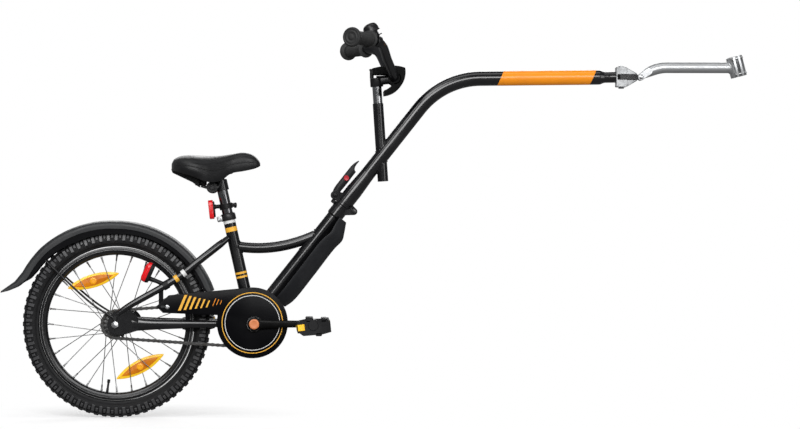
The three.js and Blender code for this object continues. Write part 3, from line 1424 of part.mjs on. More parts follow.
// Splash guard: a curved shell under the down tube on two posts
function splashGuard() {
  const across = Array.from({ length: 9 }, (_, i) => -1 + i / 4);
  const ringAt = ([share, widthShare, depthShare]) => {
    const along = -splashTop - share * splashLength;
    const half = (splashWidth / 2) * widthShare;
    const bend = (x) => splashDepth * depthShare - splashCurl * widthShare * x * x;
    const outer = across.map((x) => from(coupling, barUp, along, bend(x), x * half));
    const inner = across.map((x) => from(coupling, barUp, along, bend(x) - splashWall, x * half));
    return [...outer, ...inner.reverse()];
  };
  const shell = loft(splashShares.map(ringAt));
  const tubeRadius = downTubeDiameter / 2 + clearance;
  const posts = [splashPostInset, splashLength - splashPostInset].map((inset) => (
    rod(from(coupling, barUp, -splashTop - inset, tubeRadius), from(coupling, barUp, -splashTop - inset,
      splashDepth - splashWall / 2), splashPostDiameter / 2)
  ));
  const tubeRoom = rod(from(coupling, barUp, -downTubeLength), coupling, tubeRadius, manySides);
  return cut(joined(shell, ...posts), tubeRoom);
}

place('splash_guard', splashGuard(), '#2c2d30', 0.6, 0);

// Seat collar with its clamp ears behind, and the seat post
function seatCollar() {
  const low = from(seatTubeTop, seatUp, -collarHeight);
  const radius = seatTubeDiameter / 2 + clearance;
  const lip = from(seatTubeTop, seatUp, clearance);
  const ring = rod(low, from(lip, seatUp, collarLip), radius + collarWall, manySides);
  const ears = block(from(seatTubeTop, seatUp, -collarHeight / 2), seatUp, [-collarEarHeight / 2, collarEarHeight / 2],
    [-radius - collarEarReach, -radius], [-collarEarWidth / 2, collarEarWidth / 2]);
  const bolt = pinAt(from(seatTubeTop, seatUp, -collarHeight / 2, -radius - collarEarReach * 0.6),
    collarEarHeight * 0.3, -collarEarWidth * 0.72, collarEarWidth * 0.72);
  const tubeRoom = bore(seatRoot, lip, radius, manySides, 0);
  const postRoom = bore(seatRoot, from(lip, seatUp, collarLip), seatPostDiameter / 2 + clearance, manySides);
  return cut(joined(ring, ears, bolt), tubeRoom, postRoom);
}

const postBottom = from(seatRoot, seatUp, seatTubeLength - seatPostInsertion);
const postTop = from(seatRoot, seatUp, seatPostTop);
place('seat_collar', seatCollar(), '#c9cbcd', 0.35, 0.9);
place('seat_post', rod(postBottom, postTop, seatPostDiameter / 2, manySides), '#121214', 0.2, 0.6);

// Red reflector behind the post, on a bracket that clamps round it
function reflectorBracket() {
  const centre = from(seatRoot, seatUp, postReflectorAt);
  const half = reflectorRingHeight / 2;
  const radius = seatPostDiameter / 2 + clearance;
  const ring = rod(from(centre, seatUp, -half), from(centre, seatUp, half), radius + reflectorRingWall, manySides);
  const plateBack = from(centre, forward, -postReflectorBack + postReflectorThickness, postReflectorDrop);
  const back = block(plateBack, upright, [-postReflectorHeight * 0.42, postReflectorHeight * 0.42],
    [0, reflectorPlate], [-postReflectorWidth * 0.42, postReflectorWidth * 0.42]);
  const arm = rod(from(centre, forward, -postReflectorBack + postReflectorThickness), centre,
    reflectorArmHeight / 2, fewSides);
  const nutStart = from(centre, seatUp, reflectorRingHeight / 4, radius + reflectorRingWall / 2);
  const nut = rod(nutStart, nutStart.clone().addScaledVector(forward, reflectorNutReach), reflectorNutDiameter / 2);
  return cut(joined(ring, back, arm, nut), bore(postBottom, postTop, radius, manySides, 0));
}

function reflectorLens() {
  const centre = from(seatRoot, seatUp, postReflectorAt);
  const back = from(centre, forward, -postReflectorBack, postReflectorDrop);
  return block(back, upright, [-postReflectorHeight / 2, postReflectorHeight / 2],
    [0, postReflectorThickness - clearance], [-postReflectorWidth / 2, postReflectorWidth / 2]);
}

place('reflector_bracket', reflectorBracket(), '#18181a', 0.5, 0);
place('reflector_lens', reflectorLens(), '#c0141e', 0.2, 0);

// Saddle clamp on the post, with the barrel that the saddle tilts on
function saddleClamp() {
  const centre = from(seatRoot, seatUp, saddleClampAt);
  const half = saddleClampHeight / 2;
  const radius = seatPostDiameter / 2 + clearance;
  const ring = rod(from(centre, seatUp, -half), from(centre, seatUp, half), radius + saddleClampWall, manySides);
  const barrel = pinAt(tiltAxis, tiltBarrelDiameter / 2, -tiltBarrelWidth / 2, tiltBarrelWidth / 2, manySides);
  return cut(joined(ring, barrel), bore(postBottom, postTop, radius, manySides),
    pinHole(tiltAxis, tiltBoltDiameter / 2 + clearance));
}

// Rails from the block at the rear of the saddle to its nose, joined by the bolt through the barrel
const railLevel = saddleUnder - panThickness - clearance - railDiameter / 2;

function saddleRails() {
  const railRadius = railDiameter / 2;
  const wires = sides.map(([, sign]) => {
    const at = (x, z, y) => tiltAxis.clone().add(point(x, z, sign * y));
    const points = [at(-railRear, railRadius, railSpread), at(-railRear / 2, 0, railSpread),
      at(railRear * 0.3, 0, railSpread), at(railNose * 0.48, railLevel * 0.53, railSpread),
      at(railNose * 0.74, railLevel * 0.92, railSpread * 0.64), at(railNose, railLevel, railSpread * 0.36)];
    return sweep(new THREE.CatmullRomCurve3(points, false, 'centripetal'), disc(railRadius, 6), someSteps);
  });
  const washerStart = tiltBarrelWidth / 2 + clearance;
  const washers = sides.map(([, sign]) => {
    const faces = [sign * washerStart, sign * (railSpread + railRadius)].sort((a, b) => a - b);
    return pinAt(tiltAxis, tiltWasherDiameter / 2, ...faces, manySides);
  });
  const bolt = pinAt(tiltAxis, tiltBoltDiameter / 2, -railSpread, railSpread);
  return joined(...wires, ...washers, bolt);
}

// One ring of the saddle's cover: crowned top, sides drawn in below their middle, hollow underside
function coverRing([share, widthShare, topShare, skirtShare]) {
  const x = -saddleRear + share * (saddleRear + saddleFront);
  const half = (saddleWidth / 2) * widthShare;
  const top = saddleTop * topShare;
  const skirt = saddleTop * skirtShare;
  const under = Math.max(skirt + panThickness, Math.min(saddleUnder, top - 2 * panThickness));
  const crown = Array.from({ length: 13 }, (_, i) => {
    const turn = (Math.PI * i) / 12;
    const lift = Math.pow(Math.sin(turn), 0.55);
    const middle = skirt + (top - skirt) * 0.38;
    return [-half * Math.cos(turn), middle + (top - middle) * lift];
  });
  const side = [[half * 0.93, skirt], [half * 0.8, skirt], [half * 0.74, under]];
  const mirrored = side.map(([y, z]) => [-y, z]).reverse();
  return [...crown, ...side, ...mirrored].map(([y, z]) => tiltAxis.clone().add(point(x, z, y)));
}

// Moulded pan under the cover, with the deeper block at its rear that takes the rails
function saddleBase() {
  const rows = saddleShares.slice(1, -1);
  const panRing = ([share, widthShare, topShare, skirtShare]) => {
    const x = -saddleRear + share * (saddleRear + saddleFront);
    const half = (saddleWidth / 2) * widthShare * 0.7;
    const top = saddleTop * topShare;
    const skirt = saddleTop * skirtShare;
    const under = Math.max(skirt + panThickness, Math.min(saddleUnder, top - 2 * panThickness)) - clearance;
    const corners = [[-half, under], [half, under], [half, under - panThickness], [-half, under - panThickness]];
    return corners.map(([y, z]) => tiltAxis.clone().add(point(x, z, y)));
  };
  const pan = loft(rows.map(panRing));
  const shell = outline([[-panBlockRear, -panBlockTop], [-panBlockFront, -saddleUnder + panThickness],
    [-panBlockFront, 0], [-panBlockMiddle, -panBlockDrop], [-panBlockRear + panThickness, -panBlockLow]]);
  const half = panBlockWidth / 2;
  return joined(pan, plate(tiltAxis, forward, shell, -half, half));
}

place('saddle_clamp', saddleClamp(), '#1b1b1d', 0.4, 0.7);
place('saddle_rails', saddleRails(), '#202022', 0.35, 0.8);
place('saddle_base', saddleBase(), '#19191b', 0.5, 0);
place('saddle_cover', loft(saddleShares.map(coverRing)), '#242426', 0.65, 0);

export default group;
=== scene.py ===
import math
import bpy
import bmesh
import numpy as np
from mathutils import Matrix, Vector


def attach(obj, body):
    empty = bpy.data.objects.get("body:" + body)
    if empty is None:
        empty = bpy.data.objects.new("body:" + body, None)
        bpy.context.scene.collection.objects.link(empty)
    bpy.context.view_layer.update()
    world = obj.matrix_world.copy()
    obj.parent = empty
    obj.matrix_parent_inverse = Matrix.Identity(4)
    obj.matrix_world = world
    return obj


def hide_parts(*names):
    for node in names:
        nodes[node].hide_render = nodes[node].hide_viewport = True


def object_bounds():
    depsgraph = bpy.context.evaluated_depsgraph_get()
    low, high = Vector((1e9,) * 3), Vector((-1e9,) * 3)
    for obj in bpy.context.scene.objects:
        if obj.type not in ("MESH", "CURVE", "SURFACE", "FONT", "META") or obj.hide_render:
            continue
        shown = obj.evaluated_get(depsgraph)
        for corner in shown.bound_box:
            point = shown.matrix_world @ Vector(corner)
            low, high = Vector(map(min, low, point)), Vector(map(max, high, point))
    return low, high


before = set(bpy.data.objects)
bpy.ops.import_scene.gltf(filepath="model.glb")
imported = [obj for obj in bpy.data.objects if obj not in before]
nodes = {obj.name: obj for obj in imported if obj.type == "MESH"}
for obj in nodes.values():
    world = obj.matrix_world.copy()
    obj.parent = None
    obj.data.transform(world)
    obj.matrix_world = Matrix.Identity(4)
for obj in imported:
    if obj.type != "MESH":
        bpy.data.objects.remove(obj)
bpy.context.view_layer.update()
print("frame loaded:", len(nodes), "nodes")

# Directions and points lie in the bike's middle plane unless a y is given. Sizes are in millimetres.
forward, left, upright = np.eye(3)
origin = np.zeros(3)
ways = (-1, 1)  # the right side and the left side
sides = (("right", -1), ("left", 1))


def heading(angle):
    turn = math.radians(angle)
    return np.array([math.cos(turn), 0.0, math.sin(turn)])


def below(direction):  # the direction turned a quarter clockwise, seen from the right side
    return np.array([direction[2], 0.0, -direction[0]])


def at(x, z, y=0.0):
    return np.array([x, y, z], dtype=float)


def reach(start, direction, along=0.0, down=0.0, y=0.0):
    return start + along * direction + down * below(direction) + y * left


def unit(rows):
    rows = np.asarray(rows, float)
    return rows / np.maximum(np.linalg.norm(rows, axis=-1, keepdims=True), 1e-12)


def circle(count):  # angles once round
    return 2 * np.pi * np.arange(count) / count


def blunt(wave, power):  # a sine or cosine made squarer: its size to a power, with its sign
    return np.sign(wave) * np.abs(wave) ** power


bike = {
    "pitchAxis": at(-232.44, -25.81), "kingAxis": at(-279.44, -25.81),
    "towStart": at(-292.94, -25.81), "towCorner": at(-710.91, -30.92),
    "coupling": at(-952.0, -336.2), "barUp": unit(at(0.61978, 0.78478)),
    "hinge": at(-924.74, -350.08), "latch": at(-969.97, -310.54),
    "headCrossing": at(-858.41, -217.7), "headUp": unit(at(-0.06453, 0.99792)),
    "stem": at(-870.49, -31.09), "bar": at(-826.99, -31.09),
    "bracket": at(-1162.79, -617.63), "seatRoot": at(-1168.39, -617.63),
    "seatUp": unit(at(-0.21985, 0.97553)), "axle": at(-1492.79, -618.83),
    "tilt": at(-1263.49, -292.07), "postUp": unit(at(-0.24869, 0.96858)),
}
barUp, headUp, seatUp, postUp = bike["barUp"], bike["headUp"], bike["seatUp"], bike["postUp"]
bracket, axle, coupling, seatRoot = bike["bracket"], bike["axle"], bike["coupling"], bike["seatRoot"]
barAxes, plainAxes = (barUp, below(barUp), left), (forward, left, upright)


# Shapes: each is (points, faces). A surface has quads between the rows and columns of a grid, and flat ends
def surface(grid, closedRows=False, closedCols=True, caps=(True, True)):
    rows, cols = grid.shape[:2]
    a, b = np.meshgrid(np.arange(rows if closedRows else rows - 1),
                       np.arange(cols if closedCols else cols - 1), indexing="ij")
    a2, b2 = (a + 1) % rows, (b + 1) % cols
    faces = np.stack([a * cols + b, a * cols + b2, a2 * cols + b2, a2 * cols + b],
                     -1).reshape(-1, 4).tolist()
    if closedCols and not closedRows:
        if caps[0]:
            faces.append(list(range(cols))[::-1])
        if caps[1]:
            faces.append([(rows - 1) * cols + i for i in range(cols)])
    return grid.reshape(-1, 3), faces


def evenly(points, count, closed=False):  # the same line with points at equal distances along it
    points = np.asarray(points, float)
    if closed:
        points = np.vstack([points, points[:1]])
    steps = np.linalg.norm(np.diff(points, axis=0), axis=1)
    length = np.concatenate([[0], np.cumsum(steps)])
    wanted = np.linspace(0, length[-1], count, endpoint=not closed)
    return np.stack([np.interp(wanted, length, points[:, k]) for k in range(points.shape[1])], -1)


def curveThrough(points, count):  # centripetal spline: cubic pieces whose knots are root distances
    p = np.asarray(points, float)
    p = np.vstack([2 * p[0] - p[1], p, 2 * p[-1] - p[-2]])
    a, b, c, d = p[:-3], p[1:-2], p[2:-1], p[3:]
    g0, g1, g2 = [np.sqrt(np.linalg.norm(n - m, axis=1))[:, None] for m, n in ((a, b), (b, c), (c, d))]
    m1 = ((b - a) / g0 - (c - a) / (g0 + g1) + (c - b) / g1) * g1
    m2 = ((c - b) / g1 - (d - b) / (g1 + g2) + (d - c) / g2) * g1
    t = np.linspace(0, 1, 50, endpoint=False)[None, :, None]
    b, c, m1, m2 = b[:, None], c[:, None], m1[:, None], m2[:, None]
    dense = ((2 * t**3 - 3 * t**2 + 1) * b + (t**3 - 2 * t**2 + t) * m1
             + (3 * t**2 - 2 * t**3) * c + (t**3 - t**2) * m2)
    return evenly(np.vstack([dense.reshape(-1, p.shape[1]), p[-2]]), count)


def bowed(first, handle, last, count):  # parabola that leaves and arrives towards the handle
    t = np.linspace(0, 1, count)[:, None]
    return (1 - t) ** 2 * np.array(first) + 2 * t * (1 - t) * np.array(handle) + t**2 * np.array(last)


def tangents(points, closed=False):
    if closed:
        steps = unit(np.roll(points, -1, axis=0) - points)
        return unit(steps + np.roll(steps, 1, axis=0))
    steps = unit(np.diff(points, axis=0))
    return unit(np.vstack([steps[:1], steps[:-1] + steps[1:], steps[-1:]]))


# Circles of the given radii carried along a line
def tubeAlong(points, radius, count=28, ref=left, closed=False):
    points = np.asarray(points, float)
    course = tangents(points, closed)
    first = unit(ref - (course @ ref)[:, None] * course)
    second = np.cross(course, first)
    turn = circle(count)[None, :, None]
    radius = np.broadcast_to(np.asarray(radius, float), (len(points),))[:, None, None]
    ring = first[:, None] * np.cos(turn) + second[:, None] * np.sin(turn)
    return surface(points[:, None] + radius * ring, closedRows=closed)


# Rows of (along, radius) turned about an axis; closed joins the last row to the first
def lathe(centre, axis, profile, count=40, closed=False):
    axis = unit(axis)
    ref = forward if abs(axis[1]) > 0.9 else left
    side = unit(ref - (ref @ axis) * axis)
    other = np.cross(axis, side)
    turn = circle(count)[:, None]
    profile = np.asarray(profile, float)[:, :, None, None]
    grid = centre + profile[:, 0] * axis + profile[:, 1] * (side * np.cos(turn) + other * np.sin(turn))
    return surface(grid, closedRows=closed)


# Disc, or ring with a bore: the outer corners of its section are cut, edge along and fall across
def drum(centre, axis, low, high, radius, edge=1.0, fall=None, bore=None, count=40):
    fall = edge if fall is None else fall
    rows = [(low, radius - fall), (low + edge, radius), (high - edge, radius), (high, radius - fall)]
    if bore is None:
        return lathe(centre, axis, rows, count)
    return lathe(centre, axis, [(low, bore)] + rows + [(high, bore)], count, closed=True)


def band(centre, axis, low, high, inner, outer, count=44):  # plain ring with a rectangular section
    return lathe(centre, axis, [(low, inner), (high, inner), (high, outer), (low, outer)], count,
                 closed=True)


def rod(start, end, radius, edge=0.6, count=24):  # straight bar with chamfered ends
    length = np.linalg.norm(end - start)
    edge = min(edge, radius * 0.6, length * 0.3)
    return drum(start, end - start, 0, length, radius, edge, count=count)


def pipe(start, end, radius, wall, edge=0.5, count=36):  # hollow bar with chamfered ends
    length, inner = np.linalg.norm(end - start), radius - wall
    profile = [(0, inner + edge), (0, radius - edge), (edge, radius), (length - edge, radius),
               (length, radius - edge), (length, inner + edge), (length - edge, inner), (edge, inner)]
    return lathe(start, end - start, profile, count, closed=True)


def pin(centre, radius, low, high, edge=0.6, count=32):
    return rod(centre + low * left, centre + high * left, radius, edge, count)


def inset(outline, edge):  # corners moved inwards along the mean of the normals of their two sides
    after = np.roll(outline, -1, axis=0)
    ahead = unit(after - outline)
    mean = unit(ahead + np.roll(ahead, 1, axis=0))
    area = (outline[:, 0] * after[:, 1] - after[:, 0] * outline[:, 1]).sum()
    return outline + math.copysign(edge, area) * np.stack([-mean[:, 1], mean[:, 0]], -1)


# An outline of (first, second) distances given a thickness along their normal, with bevelled rims
def prism(start, first, second, outline, low, high, edge=0.8):
    low, high = sorted((low, high))
    outline = np.asarray(outline, float)
    drawn, third = inset(outline, edge), np.cross(first, second)
    rows = [(drawn, low), (outline, low + edge), (outline, high - edge), (drawn, high)]
    return surface(np.stack([start + o[:, :1] * first + o[:, 1:] * second + d * third for o, d in rows]))


# A prism across the bike, from (along, down) points
def plate(start, direction, outline, low, high, edge=0.8):
    return prism(start, direction, below(direction), outline, low, high, edge)


def arc(centre, radius, start, end, count):
    turn = np.radians(np.linspace(start, end, count))
    return np.stack([centre[0] + radius * np.cos(turn), centre[1] + radius * np.sin(turn)], -1)


def linkOutline(length, first, second, steps=16):  # two circles joined by their common tangents
    lean = math.degrees(math.acos((first - second) / length))
    return np.vstack([arc((0, 0), first, lean, 360 - lean, steps),
                      arc((length, 0), second, -lean, lean, steps)])


def link(start, end, first, second, low, high, edge=0.8):
    return plate(start, unit(end - start), linkOutline(np.linalg.norm(end - start), first, second), low,
                 high, edge)


# A block with chamfered edges: nested rings of eight corners along its third axis
def box(centre, axes, sizes, edge=1.0):
    a, b, c = [unit(axis) for axis in axes]
    half = np.asarray(sizes, float) / 2
    e = min(edge, *(half * 0.8))
    rows = []
    for shrink, level in ((e, -half[2]), (0, e - half[2]), (0, half[2] - e), (e, half[2])):
        x, y = half[0] - shrink, half[1] - shrink
        flat = np.array([(x, y - e), (x - e, y), (e - x, y), (-x, y - e), (-x, e - y), (e - x, -y),
                         (x - e, -y), (x, e - y)])
        rows.append(centre + flat[:, :1] * a + flat[:, 1:] * b + level * c)
    return surface(np.stack(rows))


# Rings of half heights and half widths round a middle line, squarer when the power is below 1
def oval(middle, high, wide, count, power=1.0, up=upright):
    turn = circle(count)[None]
    rise = np.reshape(high, (-1, 1)) * blunt(np.sin(turn), power)
    side = np.reshape(wide, (-1, 1)) * blunt(np.cos(turn), power)
    return surface(middle[:, None] + rise[..., None] * up + side[..., None] * left)


# Rounded rectangles along a depth, from rows of (depth, half width, half height, shift up)
def slab(centre, back, across, up, levels, power):
    turn = circle(40)
    wide, high = blunt(np.cos(turn), power)[:, None], blunt(np.sin(turn), power)[:, None]
    return surface(np.stack([centre + d * back + w * wide * across + (h * high + sum(shift)) * up
                             for d, w, h, *shift in levels]))


# Bead where a small tube meets a big one: points of the small circle slid along it onto the big tube
def weld(centre, big, bigRadius, small, smallRadius, way, bead=1.7):
    big, small = unit(big), unit(small)
    turn = circle(56)
    q = smallRadius * (np.cos(turn)[:, None] * left + np.sin(turn)[:, None] * np.cross(small, left))
    lean, qm = small @ big, q @ big
    a = 1 - lean**2
    c = (q**2).sum(1) - qm**2 - bigRadius**2
    t = (qm * lean + way * np.sqrt(np.maximum(qm**2 * lean**2 - a * c, 0))) / a
    return tubeAlong(centre + q * 1.02 + t[:, None] * small, bead + 0.25 * np.sin(14 * turn), 8, small,
                     closed=True)


# Copies of one shape, each set at its own point on its own three axes
def patterned(template, origins, *axes):
    points, faces = template
    copies = origins[:, None] + sum(points[None, :, k, None] * axis[:, None] for k, axis in enumerate(axes))
    return copies.reshape(-1, 3), [[i + k * len(points) for i in face]
                                   for k in range(len(origins)) for face in faces]


def merged(shells):
    points, faces, start = [], [], 0
    for shellPoints, shellFaces in shells:
        points.append(shellPoints)
        faces += [[i + start for i in face] for face in shellFaces]
        start += len(shellPoints)
    return np.vstack(points), faces


# Shader nodes: each input is given a number, a colour or the output of another node
def feed(tree, node, inputs):
    for label, value in dict(inputs).items():
        if isinstance(value, bpy.types.NodeSocket):
            tree.links.new(value, node.inputs[label])
        else:
            node.inputs[label].default_value = value


def addNode(tree, kind, inputs=(), **settings):
    node = tree.nodes.new("ShaderNode" + kind)
    for name, value in settings.items():
        setattr(node, name, value)
    feed(tree, node, inputs)
    return node


def newGroup(name, inputs, outputs):
    group = bpy.data.node_groups.new(name, "ShaderNodeTree")
    for label, value in inputs.items():
        group.interface.new_socket(label, in_out="INPUT",
                                   socket_type="NodeSocketFloat").default_value = value
    for label in outputs:
        group.interface.new_socket(label, in_out="OUTPUT", socket_type="NodeSocketFloat")
    return group, group.nodes.new("NodeGroupInput").outputs, group.nodes.new("NodeGroupOutput")


def place(tree):
    return addNode(tree, "TexCoord").outputs["Object"]


def noise(tree, scale, detail):
    return addNode(tree, "TexNoise", {"Scale": scale, "Detail": detail, "Roughness": 0.55,
                                      "Vector": place(tree)}).outputs["Fac"]


def ranged(tree, value, low, high, toLow=0.0, toHigh=1.0):
    return addNode(tree, "MapRange", {"Value": value, "From Min": low, "From Max": high, "To Min": toLow,
                                      "To Max": toHigh}, interpolation_type="SMOOTHSTEP").outputs["Result"]


def sums(tree, kind, *values):
    return addNode(tree, "Math", enumerate(values), operation=kind).outputs[0]


def handlingGroup():  # soft patches where hands and road dust have changed the gloss
    group, given, result = newGroup("handling", {"Scale": 20, "Low": 0.3, "High": 0.5},
                                    ["Roughness", "Patch"])
    patches = noise(group, given["Scale"], 5)
    feed(group, result, {"Roughness": ranged(group, patches, 0.32, 0.68, given["Low"], given["High"]),
                         "Patch": ranged(group, patches, 0.42, 0.7)})
    return group


def grainGroup():  # fine moulded or painted grain: two sizes of noise, one inside the other
    group, given, result = newGroup("surfaceGrain", {"Scale": 900}, ["Height"])
    fine = noise(group, given["Scale"], 3)
    coarse = noise(group, sums(group, "MULTIPLY", given["Scale"], 0.23), 2)
    feed(group, result, {"Height": sums(group, "ADD", sums(group, "MULTIPLY", fine, 0.6),
                                        sums(group, "MULTIPLY", coarse, 0.4))})
    return group


def prismGroup():  # square cells of a moulded reflector
    group, given, result = newGroup("prismCells", {"Scale": 300}, ["Height"])
    cells = addNode(group, "TexVoronoi", {"Randomness": 0, "Vector": place(group), "Scale": given["Scale"]})
    feed(group, result, {"Height": cells.outputs["Distance"]})
    return group


def weaveGroup():  # crossing threads of a fabric cover: two sine waves at right angles
    group, given, result = newGroup("coverWeave", {"Scale": 1500}, ["Height"])
    split = addNode(group, "SeparateXYZ", {0: place(group)}).outputs
    slant = sums(group, "ADD", split["X"], split["Z"])
    threads = [sums(group, "SINE", sums(group, "MULTIPLY", way, given["Scale"]))
               for way in (slant, split["Y"])]
    feed(group, result, {"Height": sums(group, "MULTIPLY", *threads)})
    return group


def radialGroup():  # how far a point of the wheel is from the axle, between two radii
    group, given, result = newGroup("radialShare", {"From": 0.2, "To": 0.224}, ["Share"])
    mapping = addNode(group, "Mapping", {"Location": tuple(-axle * 0.001), "Vector": place(group)})
    split = addNode(group, "SeparateXYZ", {0: mapping.outputs[0]}).outputs
    squares = [sums(group, "MULTIPLY", split[k], split[k]) for k in ("X", "Z")]
    radius = sums(group, "SQRT", sums(group, "ADD", *squares))
    feed(group, result, {"Share": ranged(group, radius, given["From"], given["To"])})
    return group


groups = {"handling": handlingGroup(), "grain": grainGroup(), "prism": prismGroup(), "weave": weaveGroup(),
          "radial": radialGroup()}

# Finishes: slot, colour, the colour of its patches, roughness from and to, the relief and its scale, the
# relief's depth, the scale of the patches, and what else the surface is
# A glow in these rows is painted light: emission of the finish's own colour, which makes bands, reflectors
# and lenses look brighter
finishTable = {
    "paint": ("black_gloss", (0.006, 0.006, 0.007), (0.009, 0.009, 0.01), (0.16, 0.26), ("grain", 700),
              0.004, 14, {"coat": 0.55}),
    "satin": ("black_steel", (0.009, 0.009, 0.01), (0.015, 0.015, 0.016), (0.3, 0.44), ("grain", 900),
              0.012, 30, {"coat": 0.15, "shine": 0.4}),
    "silver": ("silver_steel", (0.62, 0.63, 0.64), (0.55, 0.56, 0.57), (0.4, 0.5), ("grain", 1200),
               0.003, 26, {"metal": 0.85}),
    "zinc": ("zinc", (0.6, 0.61, 0.62), (0.5, 0.5, 0.5), (0.25, 0.42), ("grain", 1500), 0.006, 90,
             {"metal": 1.0}),
    "cast": ("cast_yoke", (0.6, 0.61, 0.62), (0.45, 0.46, 0.47), (0.45, 0.62), ("grain", 650),
             0.1, 60, {"metal": 0.45}),
    "steel": ("raw_steel", (0.35, 0.355, 0.36), (0.24, 0.23, 0.22), (0.3, 0.48), ("grain", 1100),
              0.02, 70, {"metal": 1.0}),
    "chainSteel": ("raw_steel", (0.1, 0.1, 0.1), (0.06, 0.055, 0.05), (0.34, 0.55), ("grain", 1200),
                   0.06, 120, {"metal": 1.0}),
    "darkSteel": ("black_steel", (0.003, 0.003, 0.003), (0.005, 0.005, 0.005), (0.28, 0.4), ("grain", 900),
                  0.01, 30, {"shine": 0.12}),
    "plastic": ("black_plastic", (0.009, 0.009, 0.01), (0.015, 0.015, 0.016), (0.36, 0.5), ("grain", 1400),
                0.12, 24, {"shine": 0.25}),
    "guardPlastic": ("black_plastic", (0.003, 0.003, 0.004), (0.005, 0.005, 0.006), (0.3, 0.4),
                     ("grain", 900), 0.006, 12, {"shine": 0.1}),
    "greyPlastic": ("grey_plastic", (0.032, 0.033, 0.035), (0.043, 0.044, 0.046), (0.34, 0.48),
                    ("grain", 1300), 0.03, 16, {"shine": 0.35}),
    "splashPlastic": ("grey_plastic", (0.02, 0.021, 0.024), (0.029, 0.03, 0.033), (0.42, 0.55),
                      ("grain", 1300), 0.03, 16, {"shine": 0.3}),
    "red": ("red_plastic", (0.62, 0.012, 0.03), (0.5, 0.01, 0.025), (0.3, 0.42), ("grain", 1500), 0.05, 60,
            {}),
    "orange": ("orange_plastic", (0.88, 0.3, 0.12), (0.78, 0.25, 0.09), (0.36, 0.5), ("grain", 1200), 0.06,
               60, {}),
    # the bands' glow is painted light
    "orangeBand": ("orange_plastic", (0.94, 0.3, 0.008), (0.9, 0.28, 0.007), (0.28, 0.4), ("grain", 900),
                   0.01, 18, {"coat": 0.1, "glow": 0.15}),
    "goldBand": ("orange_plastic", (0.96, 0.5, 0.05), (0.9, 0.45, 0.045), (0.3, 0.42), ("grain", 900),
                 0.01, 40, {"coat": 0.1, "glow": 0.15}),
    "whiteBand": ("silver_steel", (0.86, 0.86, 0.85), (0.78, 0.78, 0.77), (0.3, 0.42), ("grain", 900),
                  0.01, 40, {"coat": 0.1, "glow": 0.12}),
    "grip": ("grip_rubber", (0.026, 0.026, 0.026), (0.036, 0.036, 0.036), (0.54, 0.7), ("grain", 1600),
             0.16, 40, {"shine": 0.4}),
    "blackAlloy": ("black_rim", (0.01, 0.01, 0.011), (0.016, 0.016, 0.017), (0.26, 0.38), ("grain", 1000),
                   0.01, 24, {"metal": 0.3, "coat": 0.2}),
    "pad": ("pad_fabric", (0.004, 0.004, 0.004), (0.007, 0.007, 0.007), (0.56, 0.74), ("weave", 2600),
            0.25, 30, {"shine": 0.1, "sheen": 0.1}),
    "vinyl": ("saddle_vinyl", (0.01, 0.01, 0.011), (0.017, 0.017, 0.018), (0.34, 0.48), ("grain", 800),
              0.16, 22, {"shine": 0.3, "sheen": 0.1}),
    # the reflectors' and lenses' glow is painted light
    "amber": ("amber_lens", (0.96, 0.42, 0.01), (0.86, 0.32, 0.006), (0.2, 0.3), ("prism", 330),
              0.3, 18, {"coat": 0.2, "glow": 0.25}),
    "amberDark": ("amber_lens", (0.62, 0.19, 0.008), (0.5, 0.13, 0.005), (0.2, 0.3), ("prism", 420),
                  0.2, 24, {"shine": 0.2, "glow": 0.3}),
    "yellowLens": ("amber_lens", (0.98, 0.6, 0.02), (0.92, 0.5, 0.012), (0.2, 0.3), ("prism", 420),
                   0.3, 30, {"coat": 0.2, "glow": 0.3}),
    "redLens": ("red_lens", (0.78, 0.01, 0.014), (0.6, 0.006, 0.01), (0.16, 0.26), ("prism", 360),
                0.3, 30, {"coat": 0.4, "glow": 0.2}),
    # knob: the side knobs are coloured lighter than the tyre, a painted highlight
    "knob": ("tyre", (0.075, 0.075, 0.078), (0.095, 0.095, 0.098), (0.26, 0.38), ("grain", 700),
             0.1, 40, {"shine": 0.6}),
    "chrome": ("zinc", (0.55, 0.56, 0.57), (0.48, 0.48, 0.49), (0.1, 0.18), ("grain", 1500),
               0.002, 60, {"metal": 1.0}),
    "postChrome": ("black_steel", (0.26, 0.26, 0.27), (0.2, 0.2, 0.205), (0.1, 0.17), ("grain", 1200),
                   0.004, 40, {"metal": 1.0}),
    "tyre": ("tyre", (0.011, 0.011, 0.012), (0.019, 0.019, 0.02), (0.5, 0.7), ("grain", 700),
             0.2, 30, {"shine": 0.25, "radial": (0.2135, 0.2235), "treadTone": (0.02, 0.02, 0.022)}),
}


def mixed(tree, factor, first, second):
    return addNode(tree, "Mix", data_type="RGBA", inputs={"Factor": factor, "A": first,
                                                          "B": second}).outputs["Result"]


